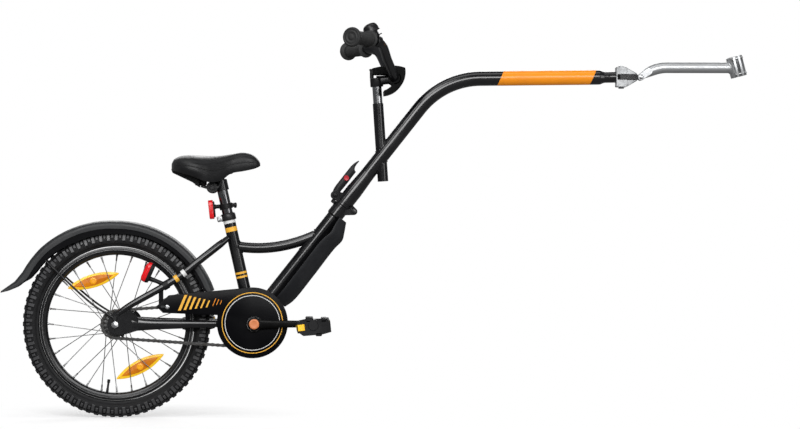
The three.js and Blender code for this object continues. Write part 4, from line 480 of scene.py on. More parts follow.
def makeFinish(name, colour, patch, rough, relief, depth, scale, more):
    material = bpy.data.materials.new(name)
    material.use_nodes = True
    material.diffuse_color = (*colour, 1)
    tree = material.node_tree

    def put(group, **values):
        return addNode(tree, "Group", values, node_tree=groups[group]).outputs
    handling = put("handling", Scale=scale, Low=rough[0], High=rough[1])
    result = mixed(tree, handling["Patch"], (*colour, 1), (*patch, 1))
    if "radial" in more:  # colour mixed lighter towards the tread
        low, high = more["radial"]
        result = mixed(tree, put("radial", From=low, To=high)["Share"], result, (*more["treadTone"], 1))
    kind, fineness = relief
    bump = addNode(tree, "Bump", {"Strength": min(1.0, depth * 2),
                                  "Distance": 0.0006 if kind == "prism" else 0.00025,
                                  "Height": put(kind, Scale=fineness)["Height"]})
    shader = tree.nodes["Principled BSDF"]
    feed(tree, shader, {"Metallic": more.get("metal", 0), "Specular IOR Level": more.get("shine", 0.5),
                        "Coat Weight": more.get("coat", 0), "Coat Roughness": 0.12,
                        "Sheen Weight": more.get("sheen", 0), "Roughness": handling["Roughness"],
                        "Base Color": result, "Normal": bump.outputs["Normal"]})
    # glow: painted light, the surface's colour given out as emission
    if "glow" in more:
        feed(tree, shader, {"Emission Strength": more["glow"], "Emission Color": result})
    return material


finishes = {name: makeFinish(name, *row[1:]) for name, row in finishTable.items()}
print("finishes:", len(finishes))


def newObject(name, mesh):
    thing = bpy.data.objects.new(name, mesh)
    bpy.context.scene.collection.objects.link(thing)
    return thing


# Joined corners, faces turned outwards or flat ones dissolved, soft shading
def smoothed(mesh, gap, angle=None):
    work = bmesh.new()
    work.from_mesh(mesh)
    bmesh.ops.remove_doubles(work, verts=work.verts, dist=gap)
    if angle:
        bmesh.ops.dissolve_limit(work, angle_limit=math.radians(angle), verts=work.verts, edges=work.edges)
    else:
        bmesh.ops.recalc_face_normals(work, faces=work.faces)
    work.to_mesh(mesh)
    work.free()
    mesh.polygons.foreach_set("use_smooth", np.ones(len(mesh.polygons), bool))


def dress(thing, finishName, body, stands=()):
    thing.data.materials.append(finishes[finishName])
    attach(thing, body)
    if stands:
        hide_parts(stands)
    return thing


def piece(name, shells, finishName, body, stands=(), sharp=38):
    points, faces = merged(shells)
    mesh = bpy.data.meshes.new(name)
    mesh.from_pydata((points * 0.001).tolist(), [], faces)
    smoothed(mesh, 1e-6)
    mesh.set_sharp_from_angle(angle=math.radians(sharp))
    return dress(newObject(name, mesh), finishName, body, stands)


def refined(node, finishName, body, bevel):  # a copy of a hard CAD node with smooth rounds and eased edges
    mesh = nodes[node].data.copy()
    mesh.name = f"{node}_eased"
    mesh.materials.clear()
    smoothed(mesh, 2e-6, 1.5)
    thing = newObject(f"{node}_eased", mesh)
    rounding = thing.modifiers.new("rounding", "BEVEL")
    rounding.width, rounding.segments, rounding.harden_normals = bevel * 0.001, 2, True
    rounding.limit_method, rounding.angle_limit = "ANGLE", math.radians(38)
    return dress(thing, finishName, body, node)


# Camera: from the drive side, a little behind the middle, 6.3 m away. The stage's sizes are in metres
stage = {"lens": 117.9, "sensor": 36, "eye": (-1.0421, -6.3, -0.3583), "aim": (-0.8136, 0.0, -0.3571),
         "middle": (-0.85, 0, -0.4), "fade": (0.22, 0.5),
         "lamps": {"front": ((-0.9, -5.4, 1.5), (5.2, 1.8), 190), "key": ((-2.8, -3.0, 3.0), (2.6, 1.8), 62),
                   "fill": ((2.6, -3.4, 0.6), (1.2, 2.8), 30), "top": ((-0.9, -0.6, 3.2), (4.0, 1.2), 22),
                   "back": ((-0.6, 3.9, 1.6), (4.0, 1.8), 70)}}


def makeCamera():
    data = bpy.data.cameras.new("camera")
    data.lens, data.sensor_width, data.clip_end = stage["lens"], stage["sensor"], 50
    camera = newObject("camera", data)
    view = np.array(stage["aim"]) - np.array(stage["eye"])
    camera.location = stage["eye"]
    camera.rotation_euler = (math.pi / 2 + math.atan2(view[2], math.hypot(view[0], view[1])), 0,
                             math.atan2(-view[0], view[1]))
    bpy.context.scene.camera = camera


def addLamp(name, spot, size, energy):
    data = bpy.data.lights.new(name, "AREA")
    data.shape, data.size, data.size_y, data.energy = "RECTANGLE", *size, energy
    lamp = newObject(name, data)
    course = unit(np.array(stage["middle"]) - np.array(spot))
    lamp.location = spot
    lamp.rotation_euler = (math.acos(-course[2]), 0, math.atan2(course[1], course[0]) - math.pi / 2)


def mixShaders(tree, factor, first, second):
    return addNode(tree, "MixShader", {0: factor, 1: first.outputs[0], 2: second.outputs[0]})


def makeSky():  # a dim light all round that the camera sees as white
    world = bpy.data.worlds.new("studio")
    bpy.context.scene.world = world
    world.use_nodes = True
    tree = world.node_tree
    lit = tree.nodes["Background"]
    feed(tree, lit, {"Color": (0.95, 0.97, 1.0, 1), "Strength": 0.12})
    seen = addNode(tree, "Background", {"Color": (1, 1, 1, 1), "Strength": 1.0})
    paths = addNode(tree, "LightPath").outputs
    rays = sums(tree, "MAXIMUM", paths["Is Camera Ray"], paths["Is Transmission Ray"])
    feed(tree, tree.nodes["World Output"], {"Surface": mixShaders(tree, rays, lit, seen).outputs[0]})


# Pale under the wheel and plain white away from it; it throws back little light onto the bike
def makeFloor():
    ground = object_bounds()[0][2] - 0.0004
    corners = np.array([[[x, y, ground] for x in (-12, 12)] for y in (-12, 14)], float)
    points, faces = surface(corners, closedCols=False)
    mesh = bpy.data.meshes.new("floor")
    mesh.from_pydata(points.tolist(), [], faces)
    material = bpy.data.materials.new("pale_floor")
    material.use_nodes = True
    tree = material.node_tree
    shader = tree.nodes["Principled BSDF"]
    feed(tree, shader, {"Base Color": (0.7, 0.7, 0.7, 1), "Roughness": 0.9, "Specular IOR Level": 0.0})
    glow = addNode(tree, "Emission", {"Strength": 0.5})
    dim = addNode(tree, "BsdfDiffuse", {"Color": (0.22, 0.22, 0.22, 1)})
    both = addNode(tree, "AddShader", {0: shader.outputs[0], 1: glow.outputs[0]})
    gap = addNode(tree, "VectorMath", {0: place(tree), 1: (axle[0] * 0.001, 0, ground)},
                  operation="DISTANCE")
    fade = mixShaders(tree, ranged(tree, gap.outputs["Value"], *stage["fade"]), both,
                      addNode(tree, "Emission"))
    pick = mixShaders(tree, addNode(tree, "LightPath").outputs["Is Camera Ray"], dim, fade)
    feed(tree, tree.nodes["Material Output"], {"Surface": pick.outputs[0]})
    mesh.materials.append(material)
    newObject("floor", mesh)


def makeStage():
    bpy.context.scene.view_settings.view_transform = "Standard"
    makeSky()
    makeFloor()
    for name, lamp in stage["lamps"].items():
        addLamp(name, *lamp)


makeCamera()
makeStage()
print("camera, floor and lamps placed")


# Wheel. Profiles are rows of (y, radius). A tread row is its centre's share of a step, its centre s, half
# width in s, half length in steps, and height, where s is the angle round the tyre's section
wheel = {
    "ring": 201.5, "radial": 17.0, "wide": 21.2, "wall": 3.6, "pitches": 70,
    "ribs": (1.55, 1.72, 1.89, 2.06),
    "sideRows": [(0.5, 1.27, 0.4, 0.2, 3.9), (0.0, 1.12, 0.22, 0.15, 3.51)],
    "middleRows": [(0.5, 0.66, 0.13, 0.27, 5.376), (0.0, 0.26, 0.17, 0.27, 5.6)],
    "rim": [(3, 165), (7, 165.6), (11.4, 169), (12.6, 176), (13.2, 176.6), (13.5, 183), (12.9, 184),
            (11.1, 184),
            (10.7, 181), (9.6, 176), (4, 175)],
    "hub": [(-47.5, 8.2), (-47.5, 11.2), (-46.8, 12), (-36, 12), (-34, 16), (-31, 17.5), (-28, 17.5),
            (-24, 17.8),
            (-20, 14.6), (-12, 13.6), (12, 13.6), (20, 14.6), (24, 17.8), (30, 17.8), (33, 16.5), (35, 12.2),
            (46.8, 12), (47.5, 11.2), (47.5, 8.2)],
    "spokes": 14, "spokeHub": 24.5, "spokeRim": 161.5, "flange": 26.0, "dish": 2.9, "cross": 2 * np.pi / 7,
    "valve": [(-4, 0), (-4, 3.2), (8, 3.2), (9, 2.6), (22, 2.6), (22.5, 3.6), (30, 3.6), (31, 0)],
    "reflectors": (("upper", 118.5, -12), ("lower", 298.5, -1)), "reflectorRadius": 117.0,
    "reflectorHalf": 63,
}


def around(centre, radius, angle, y=0.0):
    return centre + np.stack(np.broadcast_arrays(radius * np.cos(angle), y, radius * np.sin(angle)), -1)


# Ellipse section turned round the axle by theta, pushed out along the ellipse's normal by height
def tyrePoints(theta, s, height):
    slope = unit(np.stack([wheel["wide"] * np.cos(s), wheel["radial"] * np.sin(s)], -1))
    radius = wheel["ring"] + wheel["radial"] * np.cos(s) + height * slope[..., 0]
    return around(axle, radius, theta, wheel["wide"] * np.sin(s) + height * slope[..., 1])


def knobShells(rows):  # tread blocks on both halves: four-sided, narrower at the top
    step = 2 * np.pi / wheel["pitches"]
    turn = np.arange(wheel["pitches"])[:, None, None]
    corner = np.array([(-1, -1), (1, -1), (1, 1), (-1, 1)], float)
    single = surface(np.zeros((3, 4, 3)))[1]
    shells = []
    for share, centre, halfS, halfT, high in rows:
        grow, height = np.array([(1.1, -0.8), (1.0, high - 0.8), (0.86, high)]).T[:, :, None]
        for way in ways:
            across = way * centre + grow * halfS * corner[:, 1] + 0 * turn
            points = tyrePoints((turn + share + grow * halfT * corner[:, 0]) * step, across,
                                height + 0 * across)
            shells.append((points.reshape(-1, 3), [[i + 12 * n for i in face]
                                                   for n in range(wheel["pitches"]) for face in single]))
    return shells


def tyreShells():  # carcass: an ellipse section with fine ribs on its sides, open towards the rim
    s = np.linspace(-2.3, 2.3, 93)
    ring, radial, wide, wall = [wheel[k] for k in ("ring", "radial", "wide", "wall")]
    ribs = np.sign(s) * sum(0.55 * np.exp(-((np.abs(s) - rib) / 0.035) ** 2) for rib in wheel["ribs"])
    outer = np.stack([wide * np.sin(s) + ribs, ring + radial * np.cos(s)], -1)
    inner = np.stack([(wide - wall) * np.sin(s), ring + (radial - wall) * np.cos(s)], -1)[-2:0:-1]
    profile = np.vstack([[(-14.4, 185.6), (-15.2, 188.5)], outer,
                         [(15.2, 188.5), (14.4, 185.6), (10.5, 185.6)],
                         inner, [(-10.5, 185.6)]])
    return [lathe(axle, left, profile, 160, closed=True)]


def spokeShells(sign):  # wire, nipple and head, drawn upright and set from the hub's flange to the rim
    i = np.arange(wheel["spokes"])
    turn = 2 * np.pi * (i + (0.5 if sign > 0 else 0)) / wheel["spokes"]
    odd = np.where(i % 2 == 0, 1, -1)
    hub = around(axle, wheel["spokeHub"], turn, sign * (wheel["flange"] + odd * wheel["dish"]))
    rim = around(axle, wheel["spokeRim"], turn + odd * wheel["cross"], sign * 2.6)
    length = np.linalg.norm(rim - hub, axis=1).mean()
    zAxis = unit(rim - hub)
    xAxis = unit(np.cross(zAxis, left))
    wire = lathe(origin, upright, [(0, 1.0), (length, 1.0)], 8)
    nipple = lathe(length * upright, upright, [(-12, 1.1), (-11.4, 1.9), (-1, 1.9), (0, 2.6), (3, 2.6)], 10)
    head = lathe(at(0, -1.2), upright, [(0, 0.8), (0.5, 1.9), (2.0, 1.9), (2.6, 1.0)], 10)
    return [patterned(shape, hub, xAxis, np.cross(zAxis, xAxis), zAxis) for shape in (wire, nipple, head)]


# A leaf: half width falls as 1 - u squared along it, with a bevelled border, a raised frame and a boss
def reflectorShells(angle, turn):
    centre, along = axle + wheel["reflectorRadius"] * heading(angle), heading(angle + turn - 90)
    u = np.linspace(-1, 1, 41)
    wide = 15.0 * (1 - np.abs(u) ** 2.1) + 1.2
    half = 4.6

    def leaf(rows):
        grids = []
        for drawn, y in rows:
            top = np.stack([u * (wheel["reflectorHalf"] - drawn), (wide - drawn).clip(0.3)], -1)
            both = np.vstack([top, (top * [1, -1])[::-1]])
            grids.append(centre + both[:, :1] * along + both[:, 1:] * below(along) + y * left)
        return surface(np.stack(grids))
    body = leaf([(1.6, -half), (0, 1.2 - half), (0, half - 1.2), (1.6, half)])
    core = [leaf([(5.2, way * (half - 0.4)), (5.2, way * (half + 0.25)),
                  (6.0, way * (half + 0.6))]) for way in ways]
    dome = [(0, 8.2), (1.0, 8.0), (1.7, 6.8), (1.8, 4.4), (1.1, 3.6), (1.1, 0)]
    return [body], core, [lathe(centre + way * half * left, way * left, dome, 28) for way in ways]


def makeWheel():
    piece("tyre_carcass", tyreShells(), "tyre", "wheel", "tyre", sharp=30)
    # side knobs in the lighter knob finish: a painted highlight
    piece("tyre_knobs_side", knobShells(wheel["sideRows"]), "knob", "wheel", sharp=30)
    piece("tyre_knobs_middle", knobShells(wheel["middleRows"]), "tyre", "wheel", sharp=30)
    section = wheel["rim"] + [(-y, r) for y, r in wheel["rim"][::-1]]
    piece("rim_profile", [lathe(axle, left, section, 128, closed=True)], "blackAlloy", "wheel", "rim")
    for side, sign in sides:  # bright turned edges of the brake band
        edges = [lathe(axle, sign * left, [(12.9, low), (13.66, low + 0.2), (13.66, low + 1.0),
                                           (12.9, low + 1.2)],
                       128, closed=True) for low in (176.4, 182.4)]
        piece(f"rim_edges_{side}", edges, "steel", "wheel")
    for side, sign in sides:
        piece(f"spokes_{side}_laced", spokeShells(sign), "steel", "wheel", f"spokes_{side}")
    hub = [lathe(axle, left, wheel["hub"], 48, closed=True)]
    hub += [drum(axle, sign * left, 24, 28, 28, 0.8, 1.2, bore=14, count=56) for sign in ways]
    piece("hub_barrel", hub, "satin", "wheel", "hub_shell")
    out = heading(262)
    piece("valve", [lathe(axle + 165 * out, -out, wheel["valve"], 16)], "plastic", "wheel")
    for name, angle, turn in wheel["reflectors"]:
        body, core, boss = reflectorShells(angle, turn)
        piece(f"reflector_{name}_leaf", body, "yellowLens", "wheel", f"wheel_reflector_{name}")
        piece(f"reflector_{name}_core", core, "amberDark", "wheel")
        piece(f"reflector_{name}_boss", boss, "amber", "wheel")
    print("wheel made")


makeWheel()


# Drive: chain, toothed wheels, cranks, pedals and the guard
drive = {"pitch": 12.7, "ringTeeth": 28, "cogTeeth": 16, "line": -44.0, "links": 74, "crank": 140.0,
         "armWidth": 13,
         "stands": {"right": 57, "left": 50}, "plateEnd": 4.2, "waist": 1.0,
         "cogHub": [(-50, 12.6), (-50, 17), (-48.8, 18.4), (-38.2, 18.4), (-37.6, 17.6), (-37.6, 12.6)],
         "ringHub": [(-45.4, 8.6), (-45.4, 32), (-42.6, 32), (-42.6, 19), (-36, 17.5), (-36, 8.6)],
         "cap": [(0, 12), (1.2, 12), (2.1, 10.8), (2.5, 8.5), (2.2, 7.8), (2.2, 0)]}
ringRadius, cogRadius = [drive["pitch"] / (2 * math.sin(math.pi / drive[k]))
                         for k in ("ringTeeth", "cogTeeth")]


def chainPath():  # belt round two circles: an arc on each, joined by the straight common tangents
    span = bracket - axle
    length = np.linalg.norm(span)
    spin = heading(math.degrees(math.atan2(span[2], span[0])))
    flat = evenly(linkOutline(length, cogRadius, ringRadius, 60), drive["links"], closed=True)
    return axle + flat[:, :1] * spin - flat[:, 1:] * below(spin) + drive["line"] * left


def chainShells():  # waisted plates, rollers and rivets, drawn about one pin and set on every pin
    pins = chainPath()
    ahead = np.roll(pins, -1, axis=0) - pins
    xAxis, yAxis = unit(ahead), np.repeat(left[None], len(pins), 0)
    zAxis = np.cross(xAxis, yAxis)
    gap, end = np.linalg.norm(ahead, axis=1).mean(), drive["plateEnd"]
    t = np.linspace(0, 1, 7)[1:-1]
    top = np.stack([gap * t, end - drive["waist"] * np.sin(np.pi * t)], -1)
    outline = np.vstack([arc((0, 0), end, 90, 270, 7), top * [1, -1], arc((gap, 0), end, -90, 90, 7),
                         top[::-1]])
    shells = []
    for parity, levels in ((0, (1.5, 2.5)), (1, (2.6, 3.6))):
        pick = np.arange(parity, len(pins), 2)
        for sign in ways:
            rows = [np.insert(outline, 1, y, axis=1) for y in sorted(sign * np.array(levels))]
            shells.append(patterned(surface(np.stack(rows)), pins[pick], xAxis[pick], yAxis[pick],
                                    zAxis[pick]))
    roller = lathe(origin, left, [(-1.5, 3.9), (1.5, 3.9)], 10)
    rivet = lathe(origin, left, [(-3.9, 1.2), (-3.6, 1.8), (3.6, 1.8), (3.9, 1.2)], 8)
    return shells + [patterned(shape, pins, xAxis, yAxis, zAxis) for shape in (roller, rivet)]


# Rounded teeth: the outer radius rises with a power of the cosine once per tooth
def toothedShell(centre, teeth, radius, hole, half=1.3):
    turn = circle(teeth * 10)
    tip = radius - 3.4 + 5.6 * np.abs(np.cos(turn * teeth / 2 + np.pi / 2)) ** 0.7
    rows = [(hole, -half), (tip - 1.6, -half), (tip, -0.4 * half)]
    rows += [(r, -y) for r, y in rows[::-1]]
    return surface(np.stack([around(centre, r, turn, drive["line"] + y) for r, y in rows]), closedRows=True)


# Arm: rounded rectangles whose height and thickness change from the boss to the pedal eye
def crankShells(sign, stand):
    inner, outer = sign * stand, sign * (stand + drive["armWidth"])
    low, high = sorted((inner, outer))
    eye = bracket - sign * drive["crank"] * forward
    share = np.linspace(0, 1, 24)
    height = np.interp(share, [0, 0.12, 0.3, 0.8, 1], [13.5, 11, 9.0, 8.2, 10.5])
    thick = np.interp(share, [0, 0.2, 0.8, 1], [6.3, 5.6, 5.2, 6.0])
    middle = bracket + (low + high) / 2 * left + share[:, None] * (eye - bracket)
    return [oval(middle, height, thick, 28, 0.55), drum(bracket, left, low, high, 16, 1.2, 1.6),
            drum(eye, left, low, high, 12, 1.2, 1.4, count=36),
            rod(eye + outer * 0.9 * left, eye + (outer + sign * 83) * left, 5.6, 1, 20),
            rod(eye + outer * left, eye + (outer + sign * 2.6) * left, 8.6, 0.5, 6)]


pedal = {"lean": 7, "barrel": [(0, 12), (1.5, 13.4), (81, 12.6), (83.4, 12.2), (84.4, 11), (84.4, 0)],
         "side": [(-39, -8), (-19, -12.5), (29, -14), (40, -10), (42.5, 15), (21, 21), (-23, 24.6),
                  (-38.3, 14)],
         "blocks": ((-9.2, 13.0, 18, 12), (25, 12.6, 14, 10), (13, -20.5, 15, 9))}


def pedalShells(sign, stand):  # cage of side plates, blocks and studs round the axle's barrel, its front up
    eye = bracket - sign * drive["crank"] * forward
    start, course = stand + 16, heading(pedal["lean"])
    middle, up = sign * (start + 42), -below(course)

    def block(x, z, y, sizes, edge):
        return box(eye + x * course + z * up + (middle + y) * left, (course, left, up), sizes, edge)
    shells = [lathe(eye + sign * (start + 0.2) * left, sign * left, pedal["barrel"], 28)]
    for way in ways:
        shells += [plate(eye, forward, pedal["side"], middle + way * 35, middle + way * 41, edge=1.6),
                   block(way * 34.0, -1, 0, (11, 80, 23), 3.0)]
        shells += [block(way * 35.0, rise * 11.4 - 1, t, (7.2, 4.6, 4.2), 1.0)
                   for rise in ways for t in np.linspace(-28, 28, 8)]
        shells.append(block(0, -1, way * 12, (70, 6, 22), 2.4))
    shells += [box(eye + at(x, z, middle), plainAxes, (wide, 82, high), 1.8) for x, z, wide,
               high in pedal["blocks"]]
    lamps = [block(way * 39.4, -1, 0, (1.6, 56, 11.5), 0.6) for way in ways]
    return shells, lamps + [block(-28.5, -1.5, sign * 41.2, (16, 1.8, 15), 0.7)]


guard = {"centre": (-4.5, 2.5), "radius": 84.5, "face": -54.0, "hole": 18.4, "lean": 0.42,
         "screw": (-206.4, 40.4),
         "slot": (-220, 41.5), "gold": (72, 1.9), "white": (65, 1.5), "bars": 6, "thinBars": 3}


# Outline as (along, up) about the bottom bracket: a disc with a tail, and the tail's slanted end
def guardOutline(drawn):
    centre, radius = np.array(guard["centre"]), guard["radius"] - drawn
    tailTop, tip = np.array([-203 + drawn, 68.5 - drawn]), np.array([-233 + 2 * drawn, 42.0])
    tailBottom = np.array([-217 + drawn, 26.5 + drawn])
    gap = tailTop - centre
    tangent = math.degrees(math.atan2(gap[1], gap[0]) - math.acos(radius / np.hypot(*gap)))
    meeting = math.degrees(math.pi - math.asin((18.55 + drawn) / radius))
    disc = arc(centre, radius, tangent, meeting - 360, 90)
    return np.vstack([evenly([tailBottom, tip], 10), evenly([tip, tailTop], 14)[1:],
                      evenly([tailTop, disc[0]], 30)[1:-1], disc, evenly([disc[-1], tailBottom], 30)[1:-1]])


# Rim and hole as bands of quads; front and back as two flat faces each, divided above and below the hole
def guardShells():
    count, holeCount = 220, 64
    outer, near, thin = [evenly(guardOutline(drawn), count, closed=True) for drawn in (0.0, 1.2, 2.2)]
    turn = -circle(holeCount)

    def level(flat, y):
        return bracket + np.insert(flat, 1, y, axis=1)

    def hole(radius):
        return radius * np.stack([np.cos(turn), np.sin(turn)], -1)

    def loop(start, end, size):
        return [(start + i) % size for i in range((end - start) % size + 1)]
    rim = [(near, -54.0), (outer * 0.9985, -53.5), (outer, -52.6), (outer, -49.0), (outer * 0.998, -48.4),
           (thin, -48.4), (thin, -52.0)]
    wall = [(hole(18.9), -54.0), (hole(18.4), -53.6), (hole(18.4), -52.0)]
    shells = [surface(np.stack([level(flat, y) for flat, y in rows]), caps=(False, False))
              for rows in (rim, wall)]
    for edge, radius, y in ((near, 18.9, -54.0), (thin, 18.4, -52.0)):
        up, down = [int(np.argmin(np.where(edge[:, 1] * way > 0, np.abs(edge[:, 0]), 1e9)))
                    for way in (1, -1)]
        inUp, inDown = 3 * holeCount // 4, holeCount // 4
        faces = [loop(a, b, count) + [count + j for j in loop(c, d, holeCount)[::-1]]
                 for a, b, c, d in ((up, down, inUp, inDown), (down, up, inDown, inUp))]
        shells.append((np.vstack([level(edge, y), level(hole(radius), y)]), faces))
    return shells + [box(bracket + at(-221.5, 66, -50.4), plainAxes, (11, 3.4, 44), 0.8)]


def faceShape(outline, proud=0.16):  # a thin flat shape on the guard's face, from its (along, up) outline
    levels = (guard["face"] + 0.05, guard["face"] - proud)
    return surface(np.stack([bracket + np.insert(np.array(outline, float), 1, y, axis=1) for y in levels]))


def slanted(x, wide, low, high):
    lean = guard["lean"]
    return faceShape([(x + end + lean * (z - 30), z) for end,
                      z in ((0, low), (wide, low), (wide, high), (0, high))])


def makeDrive():
    piece("chain_links", chainShells(), "chainSteel", "frame", "chain", sharp=50)
    cog = [toothedShell(axle, drive["cogTeeth"], cogRadius, 18),
           lathe(axle, left, drive["cogHub"], closed=True)]
    piece("sprocket_teeth", cog, "chainSteel", "sprocket", "sprocket")
    ring = [toothedShell(bracket, drive["ringTeeth"], ringRadius, 30),
            lathe(bracket, left, drive["ringHub"], closed=True)]
    piece("chainring_teeth", ring, "steel", "crank", "chainring")
    for side, sign in sides:
        stand = drive["stands"][side]
        piece(f"crank_{side}_arm", crankShells(sign, stand), "darkSteel", "crank", f"crank_{side}", sharp=50)
        body, lamps = pedalShells(sign, stand)
        piece(f"pedal_{side}_body", body, "plastic", f"pedal_{side}", f"pedal_{side}")
        piece(f"pedal_{side}_reflectors", lamps, "yellowLens", f"pedal_{side}")
    cap = lathe(bracket - 70.3 * left, -left, drive["cap"])
    piece("crank_cap_dome", [cap], "orange", "crank", "crank_cap")
    piece("guard_tray", guardShells(), "guardPlastic", "frame", "chain_guard")
    for colour in ("gold", "white"):
        radius, width = guard[colour]
        ring = band(bracket + at(*guard["centre"]), left, guard["face"] - 0.16, guard["face"] + 0.05,
                    radius - width / 2, radius + width / 2, 140)
        piece(f"guard_ring_{colour}", [ring], f"{colour}Band", "frame")
    bars = [slanted(12.5 * i - 182, 6.6 - 0.6 * i, 32 + 1.5 * i,
                    69.3 - 2.6 * i) for i in range(guard["bars"])]
    thin = [slanted(8 * i - 105, 1.6, 43 + 2 * i, 61 - 2.5 * i) for i in range(guard["thinBars"])]
    piece("guard_bars", bars, "goldBand", "frame")
    piece("guard_bars_thin", thin, "orangeBand", "frame")
    head = [(0, 5.2), (1.0, 5.2), (2.0, 3.8), (2.0, 2.2), (1.2, 1.8), (1.2, 0)]
    screw = lathe(bracket + at(*guard["screw"], guard["face"]), -left, head, 24)
    piece("guard_screw", [screw], "zinc", "frame")
    slot = evenly(linkOutline(6, 2.4, 2.4) + guard["slot"], 24, closed=True)
    piece("guard_slot", [faceShape(slot, 0.3)], "greyPlastic", "frame")
    print("drive made")


makeDrive()


# Frame and tow bar. Profiles are rows of (along, radius); the neck is the tow bar's narrowed front end
towBar = {
    "radius": 17.5, "bend": 190.0, "headTube": (-60, 128, 12.7, 1.2), "band": (55.4, 278.9),
    "bandLean": 0.47,
    "neck": [(0, 12.4), (0.8, 13.2), (27, 13.2), (31, 14.4), (37, 16.9), (41, 17.5), (120, 17.5),
             (250, 17.5)],
    "sleeve": [(0.3, 15.6), (0.3, 19), (1.3, 20), (5.5, 20), (6.2, 19.2), (8.4, 19.2), (9.2, 20), (44, 20),
               (62, 19.2), (84, 18.1), (98, 17.56), (98, 15.6)],
}
tubes = {
    "down": 17.0, "downLength": 341.5, "seat": 14.3, "seatLength": 268, "top": 12.7, "topSag": 36,
    "foot": [(-34, 15.2), (-34, 17.2), (-30, 20), (-7, 20), (-6.2, 19.2), (-4.4, 19.2), (-3.6, 20), (-1, 20),
             (0, 19), (0, 15.2)],
    "seatBands": [("white", 245.5, 9.5), ("gold", 225.0, 11.0), ("gold_low", 121.0, 5.0),
                  ("gold_lower", 111.5, 5.0)],
}
stays = {  # rows of (share of the length, radius); the dropout is an outline of (along, down) round the axle
    "seatRadii": [(0, 6.2), (0.08, 8.6), (0.8, 8.2), (1, 6.4)], "bandRadius": 8.6,
    "chainHigh": [(0, 7.2), (0.25, 8.0), (0.8, 12.5), (1, 15.5)],
    "chainWide": [(0, 7.0), (0.2, 6.4), (0.85, 6.0), (1, 3.2)],
    "dropout": [(-18, 4), (-17, -8), (-12.6, -18.7), (-4, -29), (7, -34), (34, -34), (46, -26), (54, -15),
                (56, 0), (54, 13), (44, 17), (28, 22), (14, 24), (0, 24), (-12.6, 17), (-18, 4)],
    "inner": 53.6, "plate": 4.8, "bands": [("white", -1331.0), ("gold", -1347.0)],
}


def graded(share, rows):  # a value read between the rows of a table
    return np.interp(share, *np.transpose(rows))


def tubeRing(centre, direction, start, length, radius):  # painted ring, a hair outside its tube
    return band(centre, direction, start, start + length, radius - 0.1, radius + 0.14)


def bentPath(start, corner, end, radius, steps=40):  # two straight runs joined by a round bend touching both
    inward, outward = unit(corner - start), unit(end - corner)
    turn = math.acos(float(inward @ outward))
    first = corner - inward * radius * math.tan(turn / 2)
    normal = unit(outward - inward * (inward @ outward))
    angle = np.linspace(0, turn, steps)[:, None]
    bend = first + radius * (1 - np.cos(angle)) * normal + radius * np.sin(angle) * inward
    return np.vstack([start, bend, end])


def towBarShells():
    start, corner, crossing = bike["towStart"], bike["towCorner"], bike["headCrossing"]
    along, narrow = np.array(towBar["neck"]).T
    path = bentPath(start, corner, reach(coupling, barUp, 0.3), towBar["bend"])
    path = np.vstack([start + along[:, None] * unit(corner - start), path[1:]])
    radii = np.full(len(path), towBar["radius"])
    radii[:len(narrow)] = narrow
    low, high, radius, wall = towBar["headTube"]
    shells = [tubeAlong(path, radii, 40), lathe(coupling, barUp, towBar["sleeve"], 44, closed=True),
              pipe(reach(crossing, headUp, low), reach(crossing, headUp, high), radius, wall, 0.5, 44),
              link(bike["hinge"], reach(coupling, barUp, 9, 15), 8.4, 7.5, -7.7, 7.7)]
    shells += [weld(crossing, barUp, towBar["radius"], headUp, radius, way) for way in ways]
    latchRoot = reach(coupling, barUp, 14, -14)
    return shells + [link(bike["latch"], latchRoot, 10.5, 12, sign * 9.3, sign * 12.8) for sign in ways]


# Slanted sleeve: where it starts along the bar depends on how far below the bar's middle the point is
def towBand():
    start, course = bike["towStart"], unit(bike["towCorner"] - bike["towStart"])
    turn, share = circle(72), np.linspace(0, 1, 30)[:, None]
    first, last = [end - towBar["bandLean"] * towBar["radius"] * np.sin(turn) for end in towBar["band"]]
    ring = np.cos(turn)[:, None] * left + np.sin(turn)[:, None] * below(course)
    rows = [start + (first + (last - first) * order)[..., None] * course + radius * ring
            for radius, order in ((17.62, share), (17.3, share[::-1]))]
    return surface(np.vstack(rows), closedRows=True)


def downTubeShells():
    end, root = reach(coupling, barUp, -tubes["downLength"]), reach(coupling, barUp, -9, 15)
    shells = [rod(end, coupling - barUp, tubes["down"], 1.0, 44),
              lathe(coupling, barUp, tubes["foot"], 44, closed=True),
              box(reach(coupling, barUp, -5.0, -24), barAxes, (9.4, 10, 17.6), 1.4),
              box(reach(coupling, barUp, -4.0, -28), barAxes, (7, 2.6, 17.6), 1.0),
              weld(bracket, left, 20, barUp, tubes["down"], 1, 1.9)]
    return shells + [link(bike["hinge"], root, 8.4, 6.5, sign * 8.0, sign * 14.0) for sign in ways]


def seatTubeShells():
    low, top = reach(seatRoot, seatUp, 12), reach(seatRoot, seatUp, tubes["seatLength"])
    return [pipe(low, top, tubes["seat"], 1.3, 0.4, 44),
            drum(bracket, left, -34, 34, 20, 0.8, bore=17, count=48),
            weld(bracket, left, 20, seatUp, tubes["seat"], 1, 1.8)]


def topTubeShells():
    start, end = reach(seatRoot, seatUp, 190), reach(coupling, barUp, -80)
    path = bowed(start, (start + end) / 2 - tubes["topSag"] * upright, end, 40)
    course, radius = tangents(path), tubes["top"]
    return [tubeAlong(path[2:-3], radius, 36), weld(start, seatUp, tubes["seat"], course[0], radius, 1, 1.6),
            weld(end, barUp, tubes["down"], course[-1], radius, -1, 1.6)]


